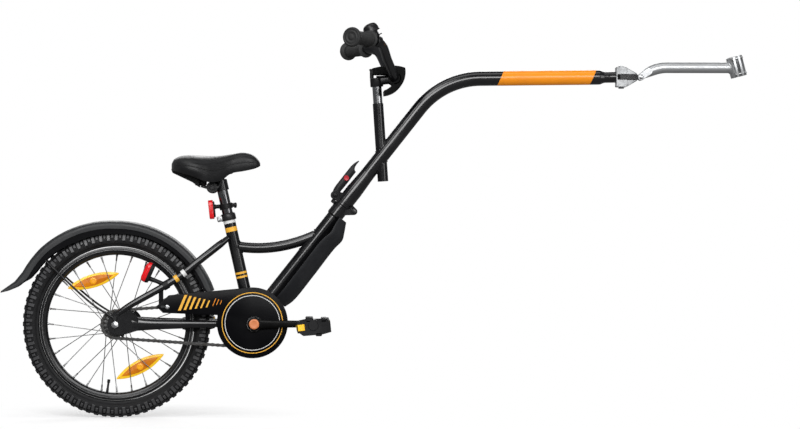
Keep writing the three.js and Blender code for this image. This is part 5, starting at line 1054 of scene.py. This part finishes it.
def stayPath(sign):  # from the seat tube's side, out round the tyre, down to the axle
    top = reach(seatRoot, seatUp, 217.5, 0, sign * 12)
    elbow = bracket + at(-187, 107, sign * 46)
    bow = top + (elbow - top) * 0.56
    bow[1] = sign * 37
    return curveThrough([top, bow, elbow, axle + at(26, 40, sign * 56), axle + at(2, 22, sign * 56)], 80)


def seatStayShells(sign):  # cut off inside the seat tube's wall and inside the dropout
    path = stayPath(sign)
    offset = path - seatRoot
    beside = np.linalg.norm(offset - (offset @ seatUp)[:, None] * seatUp, axis=1)
    path = path[(path[:, 2] > axle[2] + 24.3) & (beside > 17.0)]
    return [tubeAlong(path, graded(np.linspace(0, 1, len(path)), stays["seatRadii"]), 28, ref=upright)]


def chainStayShells(sign):
    share = np.linspace(0, 1, 30)
    start, end = bracket + at(-16, 0, sign * 25.5), axle + at(40, 0, sign * 56)
    tube = oval(start + share[:, None] * (end - start), graded(share, stays["chainHigh"]),
                graded(share, stays["chainWide"]), 32)
    outline = curveThrough(stays["dropout"], 60)[:-1]
    inner, outer = sign * stays["inner"], sign * (stays["inner"] + stays["plate"])
    return [tube, plate(axle, forward, outline, inner, outer, edge=1.0)]


def makeFrame():
    piece("tow_bar_tubes", towBarShells(), "paint", "tow_bar", "tow_bar", sharp=32)
    piece("tow_bar_band", [towBand()], "orangeBand", "tow_bar")
    piece("down_tube_body", downTubeShells(), "paint", "frame", "down_tube", sharp=32)
    piece("seat_tube_body", seatTubeShells(), "paint", "frame", "seat_tube", sharp=32)
    piece("top_tube_body", topTubeShells(), "paint", "frame", "top_tube", sharp=32)
    for side, sign in sides:
        piece(f"seat_stay_{side}_tube", seatStayShells(sign), "paint", "frame", f"seat_stay_{side}")
        piece(f"chainstay_{side}_tube", chainStayShells(sign), "paint", "frame", f"chainstay_{side}",
              sharp=32)
    for name, place, length in tubes["seatBands"]:
        ring = tubeRing(seatRoot, seatUp, place, length, tubes["seat"])
        piece(f"seat_tube_band_{name}", [ring], f"{name.split('_')[0]}Band", "frame")
    path = stayPath(-1)
    for name, place in stays["bands"]:
        k = int(np.argmin(np.abs(path[:, 0] - place)))
        ring = tubeRing(path[k], tangents(path)[k], -4.5, 9, stays["bandRadius"])
        piece(f"seat_stay_band_{name}", [ring], f"{name}Band", "frame")
    print("frame made")


makeFrame()


# Guards and lamp. The mudguard's tables are rows of (share of its length, millimetres)
mudguard = {
    "radius": 246.0, "growth": 10.0, "front": 19, "rear": 151, "half": 27.0, "rise": 11.0, "wall": 1.8,
    "flap": ((30, 231), (40, 215)), "flapSide": 141, "ridge": 1.1, "lip": 0.8,
    "skirt": [(0, 14), (0.02, 17.5), (0.84, 18.5), (0.97, 7), (1, 2)],
    # the depth of the sheets of painted shade inside the sides
    "shadeDepth": [(0, 18), (0.02, 24), (0.3, 28), (0.6, 34), (0.8, 28), (0.9, 12)],
    "arch": [(0, 1), (0.86, 1), (1, 0.15)],
    "wire": 2.5, "wireSide": 138, "wireRows": [(74.8, 55), (225, 22.4), (246.9, 19.04), (249.9, 8.96)],
}
lamp = {  # rows of (depth, half width, half height, shift up)
    "stayPoint": 47, "lean": 66, "power": 0.5,
    "housing": [(-8, 12, 18), (-7, 15.5, 23), (-1.2, 17, 25), (-0.2, 17, 25), (0.0, 16, 24)],
    "lens": [(0.2, 16.4, 24.2), (1.2, 17, 24.8), (8.5, 16.6, 23.5, -0.3), (11.8, 14.0, 20, -0.6),
             (13.0, 9, 14.5, -1), (13.2, 3, 6, -1)],
    "ribs": [(3.4, 16.8, 24.4), (6.2, 16.7, 24)],
}
splash = {  # rows of (share of the length, width, depth)
    "top": 26.0, "length": 250.0, "half": 50.0, "depth": 50.0, "wall": 2.5, "curl": 36.0,
    "brackets": (60, 190),
    "rows": [(0.0, 0.5, 0.64), (0.09, 0.78, 0.88), (0.16, 0.9, 1.03), (0.27, 0.97, 0.98), (0.6, 1.0, 1.0),
             (0.9, 0.96, 0.98), (1.0, 0.8, 0.84)],
}


# Arc over the wheel whose radius grows behind the top, then the flap; also the direction away from the wheel
def mudguardPath():
    angles = np.linspace(mudguard["front"], mudguard["rear"], 70)
    radius = mudguard["radius"] + mudguard["growth"] * np.clip((angles - 90) / 45, 0, 1)
    over = around(axle, radius, np.radians(angles))
    (first, firstSide), (second, secondSide) = mudguard["flap"]
    knee = over[-1] + first * heading(firstSide)
    flap = evenly([over[-1], knee, knee + second * heading(secondSide)], 16)[1:]
    path = np.vstack([over, flap])
    away = path - axle
    away[-len(flap):] = heading(mudguard["flapSide"])
    outward = np.cross(tangents(path), left)
    return path, outward * np.sign((outward * away).sum(1))[:, None]


# A rounded channel carried along the path, its sides ending in a lip, and darker strips of painted shade
# inside the sides, mostly reaching down past the skirts
def mudguardShells():
    path, outward = mudguardPath()
    half, rise, wall = mudguard["half"], mudguard["rise"], mudguard["wall"]
    share = np.arange(len(path)) / (len(path) - 1)
    skirt, shadeDepth, arch = [graded(share, mudguard[k]) for k in ("skirt", "shadeDepth", "arch")]
    t = np.linspace(-np.pi / 2, np.pi / 2, 25)
    wide, high = half * blunt(np.sin(t), 0.72), rise * blunt(np.cos(t), 0.72) - rise
    rows = []
    for sunk, way in ((0.0, 1), (wall, -1)):  # the outer face, then the inner one the other way round
        y = np.pad(wide * (half - sunk) / half, 1, mode="edge")
        level = np.pad(high - sunk * np.sqrt(np.abs(np.cos(t))), 1) * arch[:, None]
        level[:, 0] = level[:, -1] = -skirt
        level += mudguard["ridge"] * np.exp(-(y / 5.0) ** 2) if way > 0 else -1.2 * (1 - arch[:, None])
        grid = path[:, None] + level[..., None] * outward[:, None] + y[:, None] * left
        rows.append(grid[:, ::way])
    shadeStrips, lips = [], []
    for sign in ways:
        # painted shade: a thin dark sheet inside each side
        along = path[:-6, None] + sign * np.array([25.1, 25.1, 24.1, 24.1])[:, None] * left
        depth = np.stack([skirt - 5, shadeDepth, shadeDepth, skirt - 5], -1)[:-6]
        shadeStrips.append(surface(along - depth[..., None] * outward[:-6, None]))
        edge = path[:-2] - skirt[:-2, None] * outward[:-2] + sign * 26.4 * left
        lips.append(tubeAlong(edge, mudguard["lip"], 8))
    return [surface(np.concatenate(rows, axis=1))], shadeStrips, lips


def stayWireShells():  # wire from one side of the axle, under the mudguard's crown, to the other side
    out = heading(mudguard["wireSide"])
    halves = [[axle + at(0, 14, sign * 64)] + [axle + d * out + sign * y * left for d,
                                               y in mudguard["wireRows"]]
              for sign in ways]
    path = curveThrough(halves[0] + halves[1][::-1], 160)
    return [tubeAlong(path, mudguard["wire"], 12, ref=forward)] + [
        pin(axle + at(0, 14), 5.0, *sorted((sign * 58.9, sign * 66.4)), edge=1.0, count=24) for sign in ways]


def lampShells():
    path, up = stayPath(-1), heading(lamp["lean"])
    stay, course = [line[lamp["stayPoint"]] for line in (path, tangents(path))]
    centre = at(stay[0] - 40, stay[2] + 30, -46)

    def block(levels):
        return slab(centre, -below(up), left, up, levels, lamp["power"])
    ribs = [block([(d - 0.5, w, h, -0.3), (d, w + 0.7, h + 0.7, -0.3), (d + 0.5, w, h, -0.3)])
            for d, w, h in lamp["ribs"]]
    start = reach(centre, up, -12.5, 4)
    strut = tubeAlong([start, (start + stay) / 2 + upright, stay], [6, 5, 6], 20, ref=up)
    lug = box(stay + at(6, 11, -1), (course, np.cross(course, left), left), (9, 8, 9), 1.2)
    ring = drum(stay, course, -7, 7, 10.5, 0.6, 0.5, bore=7.8, count=32)
    return [block(lamp["housing"]), ring, strut, lug], [block(lamp["lens"])] + ribs


# Across x from -1 to 1 the shell drops by curl times x squared; width and depth change along the tube
def splashShells():
    rows = curveThrough(np.array(splash["rows"]) * [4, 1, 1], 48) / [4, 1, 1]
    share, wide, deep = rows.T[:, :, None]
    x = np.linspace(-1, 1, 29)
    grids = []
    for sunk, order in ((0.0, x), (splash["wall"], x[::-1])):
        ridge = 1.4 * np.exp(-((np.abs(order) - 0.55) / 0.08) ** 2) * (sunk == 0)
        drop = splash["depth"] * deep - splash["curl"] * wide * order**2 - sunk + ridge
        grids.append(coupling - (splash["top"] + share * splash["length"])[..., None] * barUp
                     + drop[..., None] * below(barUp) + (splash["half"] * wide * order)[..., None] * left)
    shells = [surface(np.concatenate(grids, axis=1))]
    for run in splash["brackets"]:
        base = reach(coupling, barUp, -splash["top"] - run)
        shells += [rod(reach(base, barUp, 0, 17.3), reach(base, barUp, 0, 48.6), 6, 0.8),
                   box(reach(base, barUp, 0, 19.0), (barUp, left, below(barUp)), (22, 26, 3.0), 1.0)]
    return shells


def makeGuards():
    shell, shadeStrips, lips = mudguardShells()
    piece("mudguard_shell", shell, "greyPlastic", "frame", "mudguard", sharp=50)
    # dark sheets of painted shade inside the mudguard's sides
    piece("mudguard_painted_shade", shadeStrips, "guardPlastic", "frame")
    piece("mudguard_lip", lips, "splashPlastic", "frame")
    piece("mudguard_wire", stayWireShells(), "satin", "frame", "mudguard_stay")
    housing, lens = lampShells()
    piece("lamp_body", housing, "plastic", "frame", "lamp_housing")
    piece("lamp_red_lens", lens, "redLens", "frame", "lamp_lens")
    piece("splash_shell", splashShells(), "splashPlastic", "frame", "splash_guard", sharp=50)
    print("guards and lamp made")


makeGuards()


# Seat: collar, post, reflector, clamp, rails. Profiles are rows of (along, radius)
seat = {
    "collarTop": 268, "post": (216, 352, 12.7), "clamp": 338.5,
    "collar": [(-15, 14.6), (-15, 17.2), (-14, 17.8), (-1, 17.8), (0.3, 17.0), (2.2, 15.0), (2.2, 13.0),
               (0.3, 13.0)],
    "plate": [(18.3, 4.4), (18.3, 12.4), (19.3, 13.5), (24.0, 13.5), (25.2, 12.2), (25.2, 4.4)],
    "rail": [(-27, 3.5, 22), (-13.5, 0, 22), (13.8, 0, 22), (22.08, 19.186, 22), (34.04, 33.304, 14.1),
             (46, 36.2, 7.9)],
}
postReflector = {  # rows of (depth, half width, half height)
    "place": 287, "lean": 6, "power": 0.42, "holder": [(3.4, 15, 18), (2.6, 16.5, 19.3), (0.1, 16.5, 19.3)],
    "lens": [(-0.2, 19.4, 22.4), (-1.2, 20, 23), (-9.4, 20, 23), (-10.8, 18.7, 21.7)],
    "knob": [(-2, 3.4), (1, 3.4), (1.4, 4.2), (5, 4.4), (5.4, 6.0), (7, 6.6), (9.4, 6.6), (11.2, 5.2),
             (12, 0)],
}


def seatShells():
    top, axes = reach(seatRoot, seatUp, seat["collarTop"]), (seatUp, below(seatUp), left)
    ears = [box(reach(top, seatUp, -7.5, -19.8, sign * 5.4), axes, (13.5, 15.4, 7), 1.6) for sign in ways]
    bolt = reach(top, seatUp, -7.5, -22.2)
    ears += [pin(bolt, 4.2, -13.4, -8.6, 0.8, 6), pin(bolt, 4.6, 8.6, 12.8, 1.4, 24),
             pin(bolt, 2.4, -12, 12, 0.2, 12)]
    low, high, radius = seat["post"]
    post = rod(reach(seatRoot, seatUp, low), reach(seatRoot, seatUp, high), radius, 1.0, 44)
    return [lathe(top, seatUp, seat["collar"], 44, closed=True)], ears, [post]


def postReflectorShells():
    centre, lean = reach(seatRoot, seatUp, postReflector["place"]), postReflector["lean"]

    def block(levels):
        return slab(centre + at(-30, -7), heading(lean), left, heading(lean + 90), levels,
                    postReflector["power"])
    arm = tubeAlong([centre + at(-28, -1), centre + at(-22, -0.5), centre + at(-12, 0)], [6.5, 4.6, 5.4], 20)
    knob = lathe(centre + 15.0 * forward + 3 * seatUp, forward, postReflector["knob"], 24)
    ears = [box(centre + at(15.5, 3.4, sign * 3.2), (forward, upright, left), (7, 10, 2.6),
                0.7) for sign in ways]
    ring = drum(centre, seatUp, -6.5, 6.5, 16, 0.7, 0.6, bore=13)
    return [ring, block(postReflector["holder"]), arm, knob] + ears, [block(postReflector["lens"])]


def saddleClampShells():
    centre = reach(seatRoot, seatUp, seat["clamp"])
    neck = box(reach(centre, seatUp, 0, -14), (seatUp, below(seatUp), left), (17, 16, 18), 2.0)
    return [drum(centre, seatUp, -13, 13, 16.2, 1.0, 0.9, bore=13),
            drum(bike["tilt"], left, -18, 18, 14.5, 1.0, 1.3, bore=4.4), neck]


def railShells():  # the two rails, and on each side a plate, a nut and two thin rings
    tilt = bike["tilt"]
    shells = [pin(tilt, 4.0, -30.5, 30.5, 0.8, 20)]
    for sign in ways:
        path = curveThrough([tilt + at(x, z, sign * y) for x, z, y in seat["rail"]], 50)
        shells += [tubeAlong(path, 3.5, 16), lathe(tilt, sign * left, seat["plate"], 40, closed=True),
                   lathe(tilt + sign * 25.2 * left, sign * left, [(0, 7.2), (4.0, 7.2), (5.0, 6.0)], 6)]
        for r in (9.2, 12.0):
            rows = [(25.0, r - 0.6), (25.7, r - 0.3), (25.7, r + 0.3), (25.0, r + 0.6)]
            shells.append(lathe(tilt, sign * left, rows, 36, closed=True))
    return shells


# Saddle: rows of (share of the length from the rear, half width, height of the top, height of the lower edge)
saddle = {
    "rear": 97.0, "front": 114.0, "half": 73.0, "top": 84.0, "under": 44.0, "wall": 4.0, "seam": 0.38,
    "rows": [(0.0, 0.36, 0.7, 0.5), (0.035, 0.68, 0.83, 0.46), (0.12, 0.91, 0.91, 0.4),
             (0.245, 1.0, 0.92, 0.31),
             (0.385, 0.9, 0.9, 0.17), (0.53, 0.62, 0.9, 0.17), (0.665, 0.37, 0.945, 0.4),
             (0.81, 0.29, 1.0, 0.47),
             (0.92, 0.26, 0.93, 0.53), (0.975, 0.18, 0.81, 0.58), (1.0, 0.07, 0.7, 0.62)],
}


def saddleLines():  # for each ring: its share, x, half width, and the heights of top, seam and lower edge
    share, wide, high, low = (curveThrough(np.array(saddle["rows"]) * [3, 1, 1, 1], 110) / [3, 1, 1, 1]).T
    share = share.clip(0, 1)
    top, skirt = saddle["top"] * high, saddle["top"] * low
    x = share * (saddle["rear"] + saddle["front"]) - saddle["rear"]
    return share, x, saddle["half"] * wide, top, skirt + (top - skirt) * saddle["seam"], skirt


# Rings across the saddle: a flattened half round on top, a seam, sides drawn in to the skirt, and a hollow
def saddleShells():
    share, x, half, top, seam, skirt = [line[:, None] for line in saddleLines()]
    under = np.maximum(skirt + saddle["wall"], np.minimum(saddle["under"], top - 2 * saddle["wall"]))
    turn, down = np.linspace(0, np.pi, 57), np.linspace(0, 1, 13)[1:]
    swell = 0.6 * np.sin(turn) ** 2 * np.sin(np.pi * share)
    crownZ = seam + (top - seam) * np.sin(turn).clip(0) ** 0.6 - 0.6 + swell
    sideY = half * (1 - 0.07 * down**2 + 0.012 * np.sin(np.pi * down))
    sideZ = seam + (skirt - seam) * down
    innerY = half * [0.86, 0.8, 0.76, 0.74]
    innerZ = np.hstack([skirt - 0.2, skirt + 0.8, skirt + 0.3 * (under - skirt), under])
    y = np.hstack([-half * np.cos(turn), sideY, innerY, -innerY[:, ::-1], -sideY[:, ::-1]])
    z = np.hstack([crownZ, sideZ, innerZ, innerZ[:, ::-1], sideZ[:, ::-1]])
    return [surface(bike["tilt"] + np.stack([np.broadcast_to(x, y.shape), y, z], -1))]


def pipingShells():  # a cord over the seam on each side
    share, x, half, top, seam = saddleLines()[:5]
    pick = (share > 0.05) & (share < 0.93)
    lines = [np.stack([x, sign * half * 1.003, seam + (top - seam) * 0.12], -1)[pick] for sign in ways]
    return [tubeAlong(bike["tilt"] + evenly(line, 90), 0.9, 10, ref=upright) for line in lines]


def makeSeat():
    collar, ears, post = seatShells()
    piece("collar_clamp", collar, "satin", "frame", "seat_collar")
    piece("collar_ears", ears, "silver", "frame")
    piece("post_tube", post, "postChrome", "seat_post", "seat_post")
    holder, lens = postReflectorShells()
    piece("post_reflector_holder", holder, "plastic", "seat_post", "reflector_bracket")
    piece("post_reflector_lens", lens, "redLens", "seat_post", "reflector_lens")
    piece("saddle_clamp_barrel", saddleClampShells(), "paint", "seat_post", "saddle_clamp")
    piece("saddle_rail_wires", railShells(), "satin", "saddle", "saddle_rails")
    refined("saddle_base", "plastic", "saddle", 0.8)
    block = box(bike["tilt"] + at(-28.1, 14), plainAxes, (27.8, 30, 19), 2.0)
    piece("saddle_block", [block], "plastic", "saddle")
    cover = piece("saddle_cover_vinyl", saddleShells(), "vinyl", "saddle", "saddle_cover", sharp=60)
    piece("saddle_piping", pipingShells(), "vinyl", "saddle")
    print("seat made")


makeSeat()


# Steering: points of the right half of the bar and the grip's start are (x, z, y) from the bar's clamp
bars = {"radius": 11.1, "sweep": 27.0, "points": [(0, 0, 18), (0, 0, 34), (-19, 38, 92), (-38, 76, 150)],
        "gripStart": (-62, 83, 176), "gripPoints": (0, 46, 92)}
stemSizes = {"quill": 78, "length": 41, "drop": -5.0, "arm": 12.4, "power": 0.6,
             "head": [(-19, 12.4), (-19, 14.6), (-17.8, 15.5), (0.5, 15.5), (2, 14), (2.6, 0)]}
grip = {
    "pitch": 5.2, "radius": 15.3, "rib": 0.7, "flange": [(4, 11.7), (4, 20), (5, 21), (7.4, 21),
                                                         (8.4, 19.5)],
    "end": [(92, 16.2), (93.5, 20.5), (95.2, 22.6), (97.8, 23), (101, 22.4), (103.2, 20.4), (103.8, 19.2),
            (102.6, 18.2), (102.6, 14.6), (103.8, 13.8), (103.8, 12.4), (102.8, 11.4), (102.8, 7.6),
            (104.6, 6.6),
            (105.2, 3.4), (105.2, 0)],
}
shield = {"centre": (-29.5, 14.5), "half": 45, "radius": 55.0, "step": (-25, -9), "handle": (25, -22)}
bell = {
    "seat": (-872.87, 48.82, -159.57), "lean": 117, "bar": (0.70021, 0.67899, -0.22063), "foot": 24.1,
    "dome": [(1.0, 17.6), (0.2, 18.2), (0, 19.0), (0.8, 19.4), (2.0, 19.0), (3.0, 18.6), (9, 18.5),
             (14, 17.6), (18, 14.8), (20.6, 10.6), (21.8, 5.4), (22.0, 3.0), (22.0, 0)],
}


def gripLine(sign):  # where a grip starts, and its direction
    turn, (x, z, y) = math.radians(bars["sweep"]), bars["gripStart"]
    return bike["bar"] + at(x, z, sign * y), np.array([-math.sin(turn), sign * math.cos(turn), 0.0])


def barPoints(sign):
    start, course = gripLine(sign)
    return ([bike["bar"] + at(x, z, sign * y) for x, z, y in bars["points"]]
            + [start + along * course for along in bars["gripPoints"]])


def stemShells():
    stem, share = bike["stem"], np.linspace(0, 1, 14)
    middle = (stem + share[:, None] * stemSizes["length"] * forward
              + (stemSizes["drop"] * (1 - share))[:, None] * upright)
    high, wide = [stemSizes["arm"] - waist * np.sin(np.pi * share) for waist in (1.6, 0.8)]
    bright = rod(reach(bike["headCrossing"], headUp, stemSizes["quill"]), reach(stem, headUp, -10),
                 bars["radius"], 0.8, 44)
    return [lathe(stem, headUp, stemSizes["head"], 44), oval(middle, high, wide, 28, stemSizes["power"]),
            rod(stem + at(-11, 0), stem + at(-11, 20), 4.8, 1.0),
            rod(stem + at(-11, 19), stem + at(-11, 24), 6.2, 1.2),
            drum(bike["bar"], left, -18, 18, 15.1, 0.8, 0.7, bore=11.6, count=44)], [bright]


# Ribbed sleeve: its radius swells and sinks along the grip, between a flange and a rounded end
def gripShells(sign):
    start, course = gripLine(sign)
    along = np.linspace(8.5, 91, 150)
    wave = np.clip(np.sin(2 * np.pi * (along - 12) / grip["pitch"]) * 2.2, -1,
                   1) * ((along > 14) & (along < 84))
    middle = np.stack([along, grip["radius"] + grip["rib"] * wave], -1)
    return [lathe(start, course, np.vstack([grip["flange"], middle, grip["end"]]), 48)]


# Outline of the shield's section at distance y from its middle: thick cheeks, a thin middle and rounded ends
def shieldSection(y):
    outer = arc((0, 0), shield["radius"], -11, 86, 60)
    crown = bowed(shield["step"], shield["handle"], outer[0], 24)
    back, thick = shield["step"][0], np.clip((y - 13) / 5, 0, 1)
    thick = thick * thick * (3 - 2 * thick)
    radius, lower = 49.5 - 13.5 * thick, -4.0 + 8.0 * thick
    angle = np.radians(np.linspace(86, math.degrees(math.asin(lower / radius)), 60))
    wide = (radius + 8 * thick * np.clip((np.degrees(angle) - 45) / 41, 0, 1))[:, None]
    inner = wide * np.stack([np.cos(angle), np.sin(angle)], -1)
    section = np.vstack([evenly(np.vstack([[back, lower - 2], crown[:-1], outer]), 120),
                         evenly(np.vstack([inner, [back, lower]]), 120)])
    ease = 3.0 * (1 - math.sqrt(max(0.0, 1 - (max(0.0, y - 42) / 3) ** 2)))
    return inset(section, ease - 0.5 * math.sin(math.pi * np.clip((y - 18) / 27, 0, 1)))


def shieldShells():
    levels = np.concatenate([[45, 44.6, 43.8, 42.4, 40], np.linspace(37, 19.5, 8), np.linspace(18, 13, 8)])
    rows = [(-y, shieldSection(y)) for y in levels]
    rows += [(-y, section) for y, section in rows[::-1]]
    centre = bike["bar"] + at(*shield["centre"])
    sections = [centre + flat[:, :1] * forward + flat[:, 1:] * below(forward) + y * left for y, flat in rows]
    points, faces = surface(np.stack(sections), caps=(False, False))
    last = (len(rows) - 1) * 240
    for i in range(119):  # each end is closed by quads from the outer edge to the inner one
        across = [i, i + 1, 238 - i, 239 - i]
        faces += [across, [last + j for j in across[::-1]]]
    return [(points, faces)]


def shieldSleeve(sign):
    low, high = sorted((sign * 18.3, sign * shield["half"]))
    return drum(bike["bar"], left, low, high, 15.6, bore=12)


def bellShells():  # domed cup with a rolled rim on a short post, held to the bar by a ring
    seatPoint, up, bar = at(*bell["seat"]), heading(bell["lean"]), unit(np.array(bell["bar"]))
    foot = seatPoint + bell["foot"] * up
    post = [rod(foot - (3.5 + 4 * i) * up, foot - (1.5 + 4 * i) * up, 12.6, 0.5, 32) for i in range(3)]
    return [lathe(foot, up, bell["dome"], 48), rod(seatPoint + 9 * up, foot, 12, 0.8, 32),
            pipe(seatPoint - 6 * bar, seatPoint + 6 * bar, 14.1, 2.8, 0.6)] + post


def strikerShells():
    up = heading(bell["lean"])
    ahead, root = below(up), at(*bell["seat"]) + (bell["foot"] - 6.5) * up + 12 * forward
    knob = root + 4.6 * ahead
    return [box(root + 0.4 * ahead, (ahead, left, up), (14.8, 6.8, 2.2), 0.6),
            rod(knob - 1.1 * up, knob + 1.1 * up, 3.2, 0.5, 20)]


def makeSteering():
    shells, bright = stemShells()
    piece("stem_body", shells, "satin", "stem", "stem", sharp=40)
    piece("stem_quill", bright, "chrome", "stem")
    line = curveThrough(barPoints(-1)[::-1] + barPoints(1), 260)
    piece("handlebar_tube", [tubeAlong(line, bars["radius"], 32, ref=forward)], "paint", "handlebar",
          "handlebar")
    for side, sign in sides:
        piece(f"grip_{side}_ribbed", gripShells(sign), "grip", "handlebar", f"grip_{side}", sharp=60)
    pad = piece("handlebar_shield", shieldShells(), "pad", "handlebar", "handlebar_pad", sharp=60)
    piece("shield_sleeves", [shieldSleeve(sign) for sign in ways], "pad", "handlebar")
    piece("bell_cup", bellShells(), "satin", "handlebar", "bell")
    piece("bell_striker_tab", strikerShells(), "plastic", "bell_striker", "bell_striker")
    print("steering made")


makeSteering()


# Hitch and latch. A bolt's rows are (low, high, radius, edge, count of sides) along the clamp's depth
hitch = {
    "bend": 33.5, "bendCentre": (-168, -102.6), "bendRadius": 100, "arm": 13.0, "thinned": 3.4, "fork": 216,
    "clamp": {"outer": 19.6, "hole": 13.6, "gap": 4.0, "face": 8.5, "tip": 31.0, "half": 25.0},
    "bolts": (("upper", 18.5), ("lower", -18.5)), "boltSide": 24.5,
    "bolt": [(-12.8, -8.8, 5.4, 0.9, 6), (-9.4, -8.5, 6.0, 0.3, 24), (-9, 16.6, 2.9, 0.8, 16),
             (8.8, 12.8, 5.4, 0.9, 6), (8.5, 9.4, 6.0, 0.3, 24)],
    "ear": [(-12.4, 6.4), (13.0, 6.4), (13.0, 21), (10.4, 24.0), (-10, 24.0), (-12.4, 22)],
    "wing": [(0, 6.4), (37.6, 6.4), (38.0, 7.4), (37.4, 8.8), (14, 22.5), (0, 23.5)],
    "kingDome": [(24.2, 6.6), (24.4, 7.4), (25.8, 7.4), (27.0, 6.0), (27.7, 3.6), (27.7, 0)],
    "rivet": [(13.0, 5.6), (13.4, 6.0), (14.6, 5.6), (15.6, 3.8), (15.8, 0)],
}
latch = {  # curves of three (along, down) points: start, handle, end
    "curves": [((0, -8), (8, -13), (24, -13)), ((75, -13), (87.5, -13), (100, -7)),
               ((100, -4.5), (75, -7), (75, 5)), ((60, 5), (40, 6.2), (16, 5))],
    "button": (-942.74, -269.61, -5.2), "cap": [(0, 6.4), (6.0, 6.4), (6.8, 5.6), (6.6, 3.4), (6.2, 0)],
}


def leverShells():  # side view: eye, straight back and a tip that thins out
    lines = [bowed(*points, 14) for points in latch["curves"]]
    side = evenly(np.vstack([arc((0, 0), 8.0, 90, 270, 18), lines[0][1:]] + lines[1:] + [[(8, 7.0)]]), 150,
                  closed=True)
    return [plate(bike["latch"], barUp, side, -9, 9, edge=1.6),
            pin(bike["latch"], 3.4, -15.4, 15.4, 0.6, 20),
            pin(bike["latch"], 5.6, -15.2, -13.2, 0.8, 24), pin(bike["latch"], 5.6, 13.2, 15.2, 0.8, 24)]


# Straight run, then a round bend; the section's height falls from 26 to 19 towards the fork
def armShells():
    turn = np.radians(np.linspace(0, hitch["bend"], 26))
    run = [at(x, -2.6) for x in np.linspace(-12, -168, 14)[:-1]]
    path = np.vstack([run, around(at(*hitch["bendCentre"]), hitch["bendRadius"], np.pi / 2 + turn)])
    late = np.concatenate([np.zeros(len(run)), np.clip((np.degrees(turn) - 18) / 15.5, 0, 1)])
    outward = np.cross(tangents(path), left)
    tube = oval(path, hitch["arm"] - hitch["thinned"] * late**2, hitch["arm"], 44, up=outward[:, None])
    root, tip = bike["pitchAxis"] - 24 * heading(hitch["fork"]), bike["pitchAxis"]
    cheeks = [link(root, tip, 8.8, 8.0, sign * 9.8, sign * 13, edge=1.0) for sign in ways]
    return [tube] + cheeks + [weld(at(0, -2.6), postUp, 19.4, forward, hitch["arm"], -1, 1.6)]


# One half seen along the post: flange, half ring, flange; way is 1 in front of the post and -1 behind
def clampShells(way):
    outer, hole, gap, face, tip, half = hitch["clamp"].values()
    out, into = math.degrees(math.acos(face / outer)), math.degrees(math.acos(gap / hole))
    flat = np.vstack([[(gap, -tip), (face, -tip), (face, -20)], arc((0, 0), outer, 2 - out, out - 2, 24),
                      [(face, 20), (face, tip), (gap, tip)], arc((0, 0), hole, into, -into, 24)])
    return [prism(origin, below(postUp), left, flat * [way, 1], -half, half, 1.0)]


def boltShells(rise, y):
    centre, through = reach(origin, postUp, rise, 0, y), below(postUp)
    return [rod(centre + low * through, centre + high * through, *sizes) for low, high,
            *sizes in hitch["bolt"]]


def yokeShells():  # cast fork: two ears that narrow into wings, joined by a back plate, with ribs outside
    level = bike["kingAxis"]
    shells = [box(level + at(-11.6, 0), plainAxes, (3.2, 30, 47.6), 1.2)]
    for way in ways:
        shells += [prism(level, forward, way * upright, hitch["ear"], -15, 15, 1.4),
                   prism(level, forward, way * upright, hitch["wing"], -8, 8, 1.6)]
        shells += [box(level + at(x, way * 19.6), plainAxes, (2.2, 30.4, 8.6), 0.6)
                   for x in np.linspace(-9, 9.4, 5)]
    return shells


def tongueShells():
    plan = np.vstack([arc((0, 0), 9.2, 90, 270, 20), [(46, -9.2), (46, 9.2)]])
    return [prism(bike["kingAxis"], forward, left, plan, -6, 6, 0.8),
            pin(bike["pitchAxis"], 6.0, -9.2, 9.2, 0.5, 28)]


def kingPinShells():
    king = bike["kingAxis"]
    return [rod(king - 27 * upright, king + 25 * upright, 4.5), lathe(king, upright, hitch["kingDome"], 28),
            rod(king - 27.6 * upright, king - 24.3 * upright, 7.4, 0.8, 6)]


def makeHitch():
    piece("arm_tube", armShells(), "silver", "hitch", "hitch_arm", sharp=40)
    piece("clamp_half_rear", clampShells(-1), "silver", "hitch")
    piece("clamp_half_front", clampShells(1), "silver", "hitch", "clamp_cap")
    for row, rise in hitch["bolts"]:
        for side, sign in sides:
            name = f"clamp_bolt_{row}_{side}"
            piece(f"{name}_hex", boltShells(rise, sign * hitch["boltSide"]), "zinc", "hitch", name)
    rivets = [pin(bike["pitchAxis"], 3.5, -13.2, 13.2, 0.3, 20)]
    rivets += [lathe(bike["pitchAxis"], sign * left, hitch["rivet"], 24) for sign in ways]
    piece("pitch_rivet", rivets, "zinc", "hitch", "pitch_pin")
    piece("tongue_bar", tongueShells(), "paint", "tongue", "hitch_tongue")
    piece("yoke_cast", yokeShells(), "cast", "tow_bar", "hitch_yoke")
    piece("king_pin_dome", kingPinShells(), "zinc", "tow_bar", "king_pin")
    snap = pin(bike["towStart"] + at(-17, -0.2), 3.0, -14.6, -12.6, 0.7, 20)
    piece("snap_button", [snap], "satin", "tow_bar")
    piece("latch_lever_body", leverShells(), "plastic", "latch_lever", "latch_lever", sharp=50)
    cap = lathe(at(*latch["button"]), -left, latch["cap"], 32)
    piece("latch_button_red", [cap], "red", "latch_button", "latch_button")
    refined("hinge_pin", "satin", "frame", 0.5)
    refined("bottom_bracket_unit", "satin", "frame", 0.6)
    refined("rear_axle", "zinc", "frame", 0.6)
    refined("crank_axle", "steel", "crank", 0.5)
    print("hitch and latch made")


makeHitch()
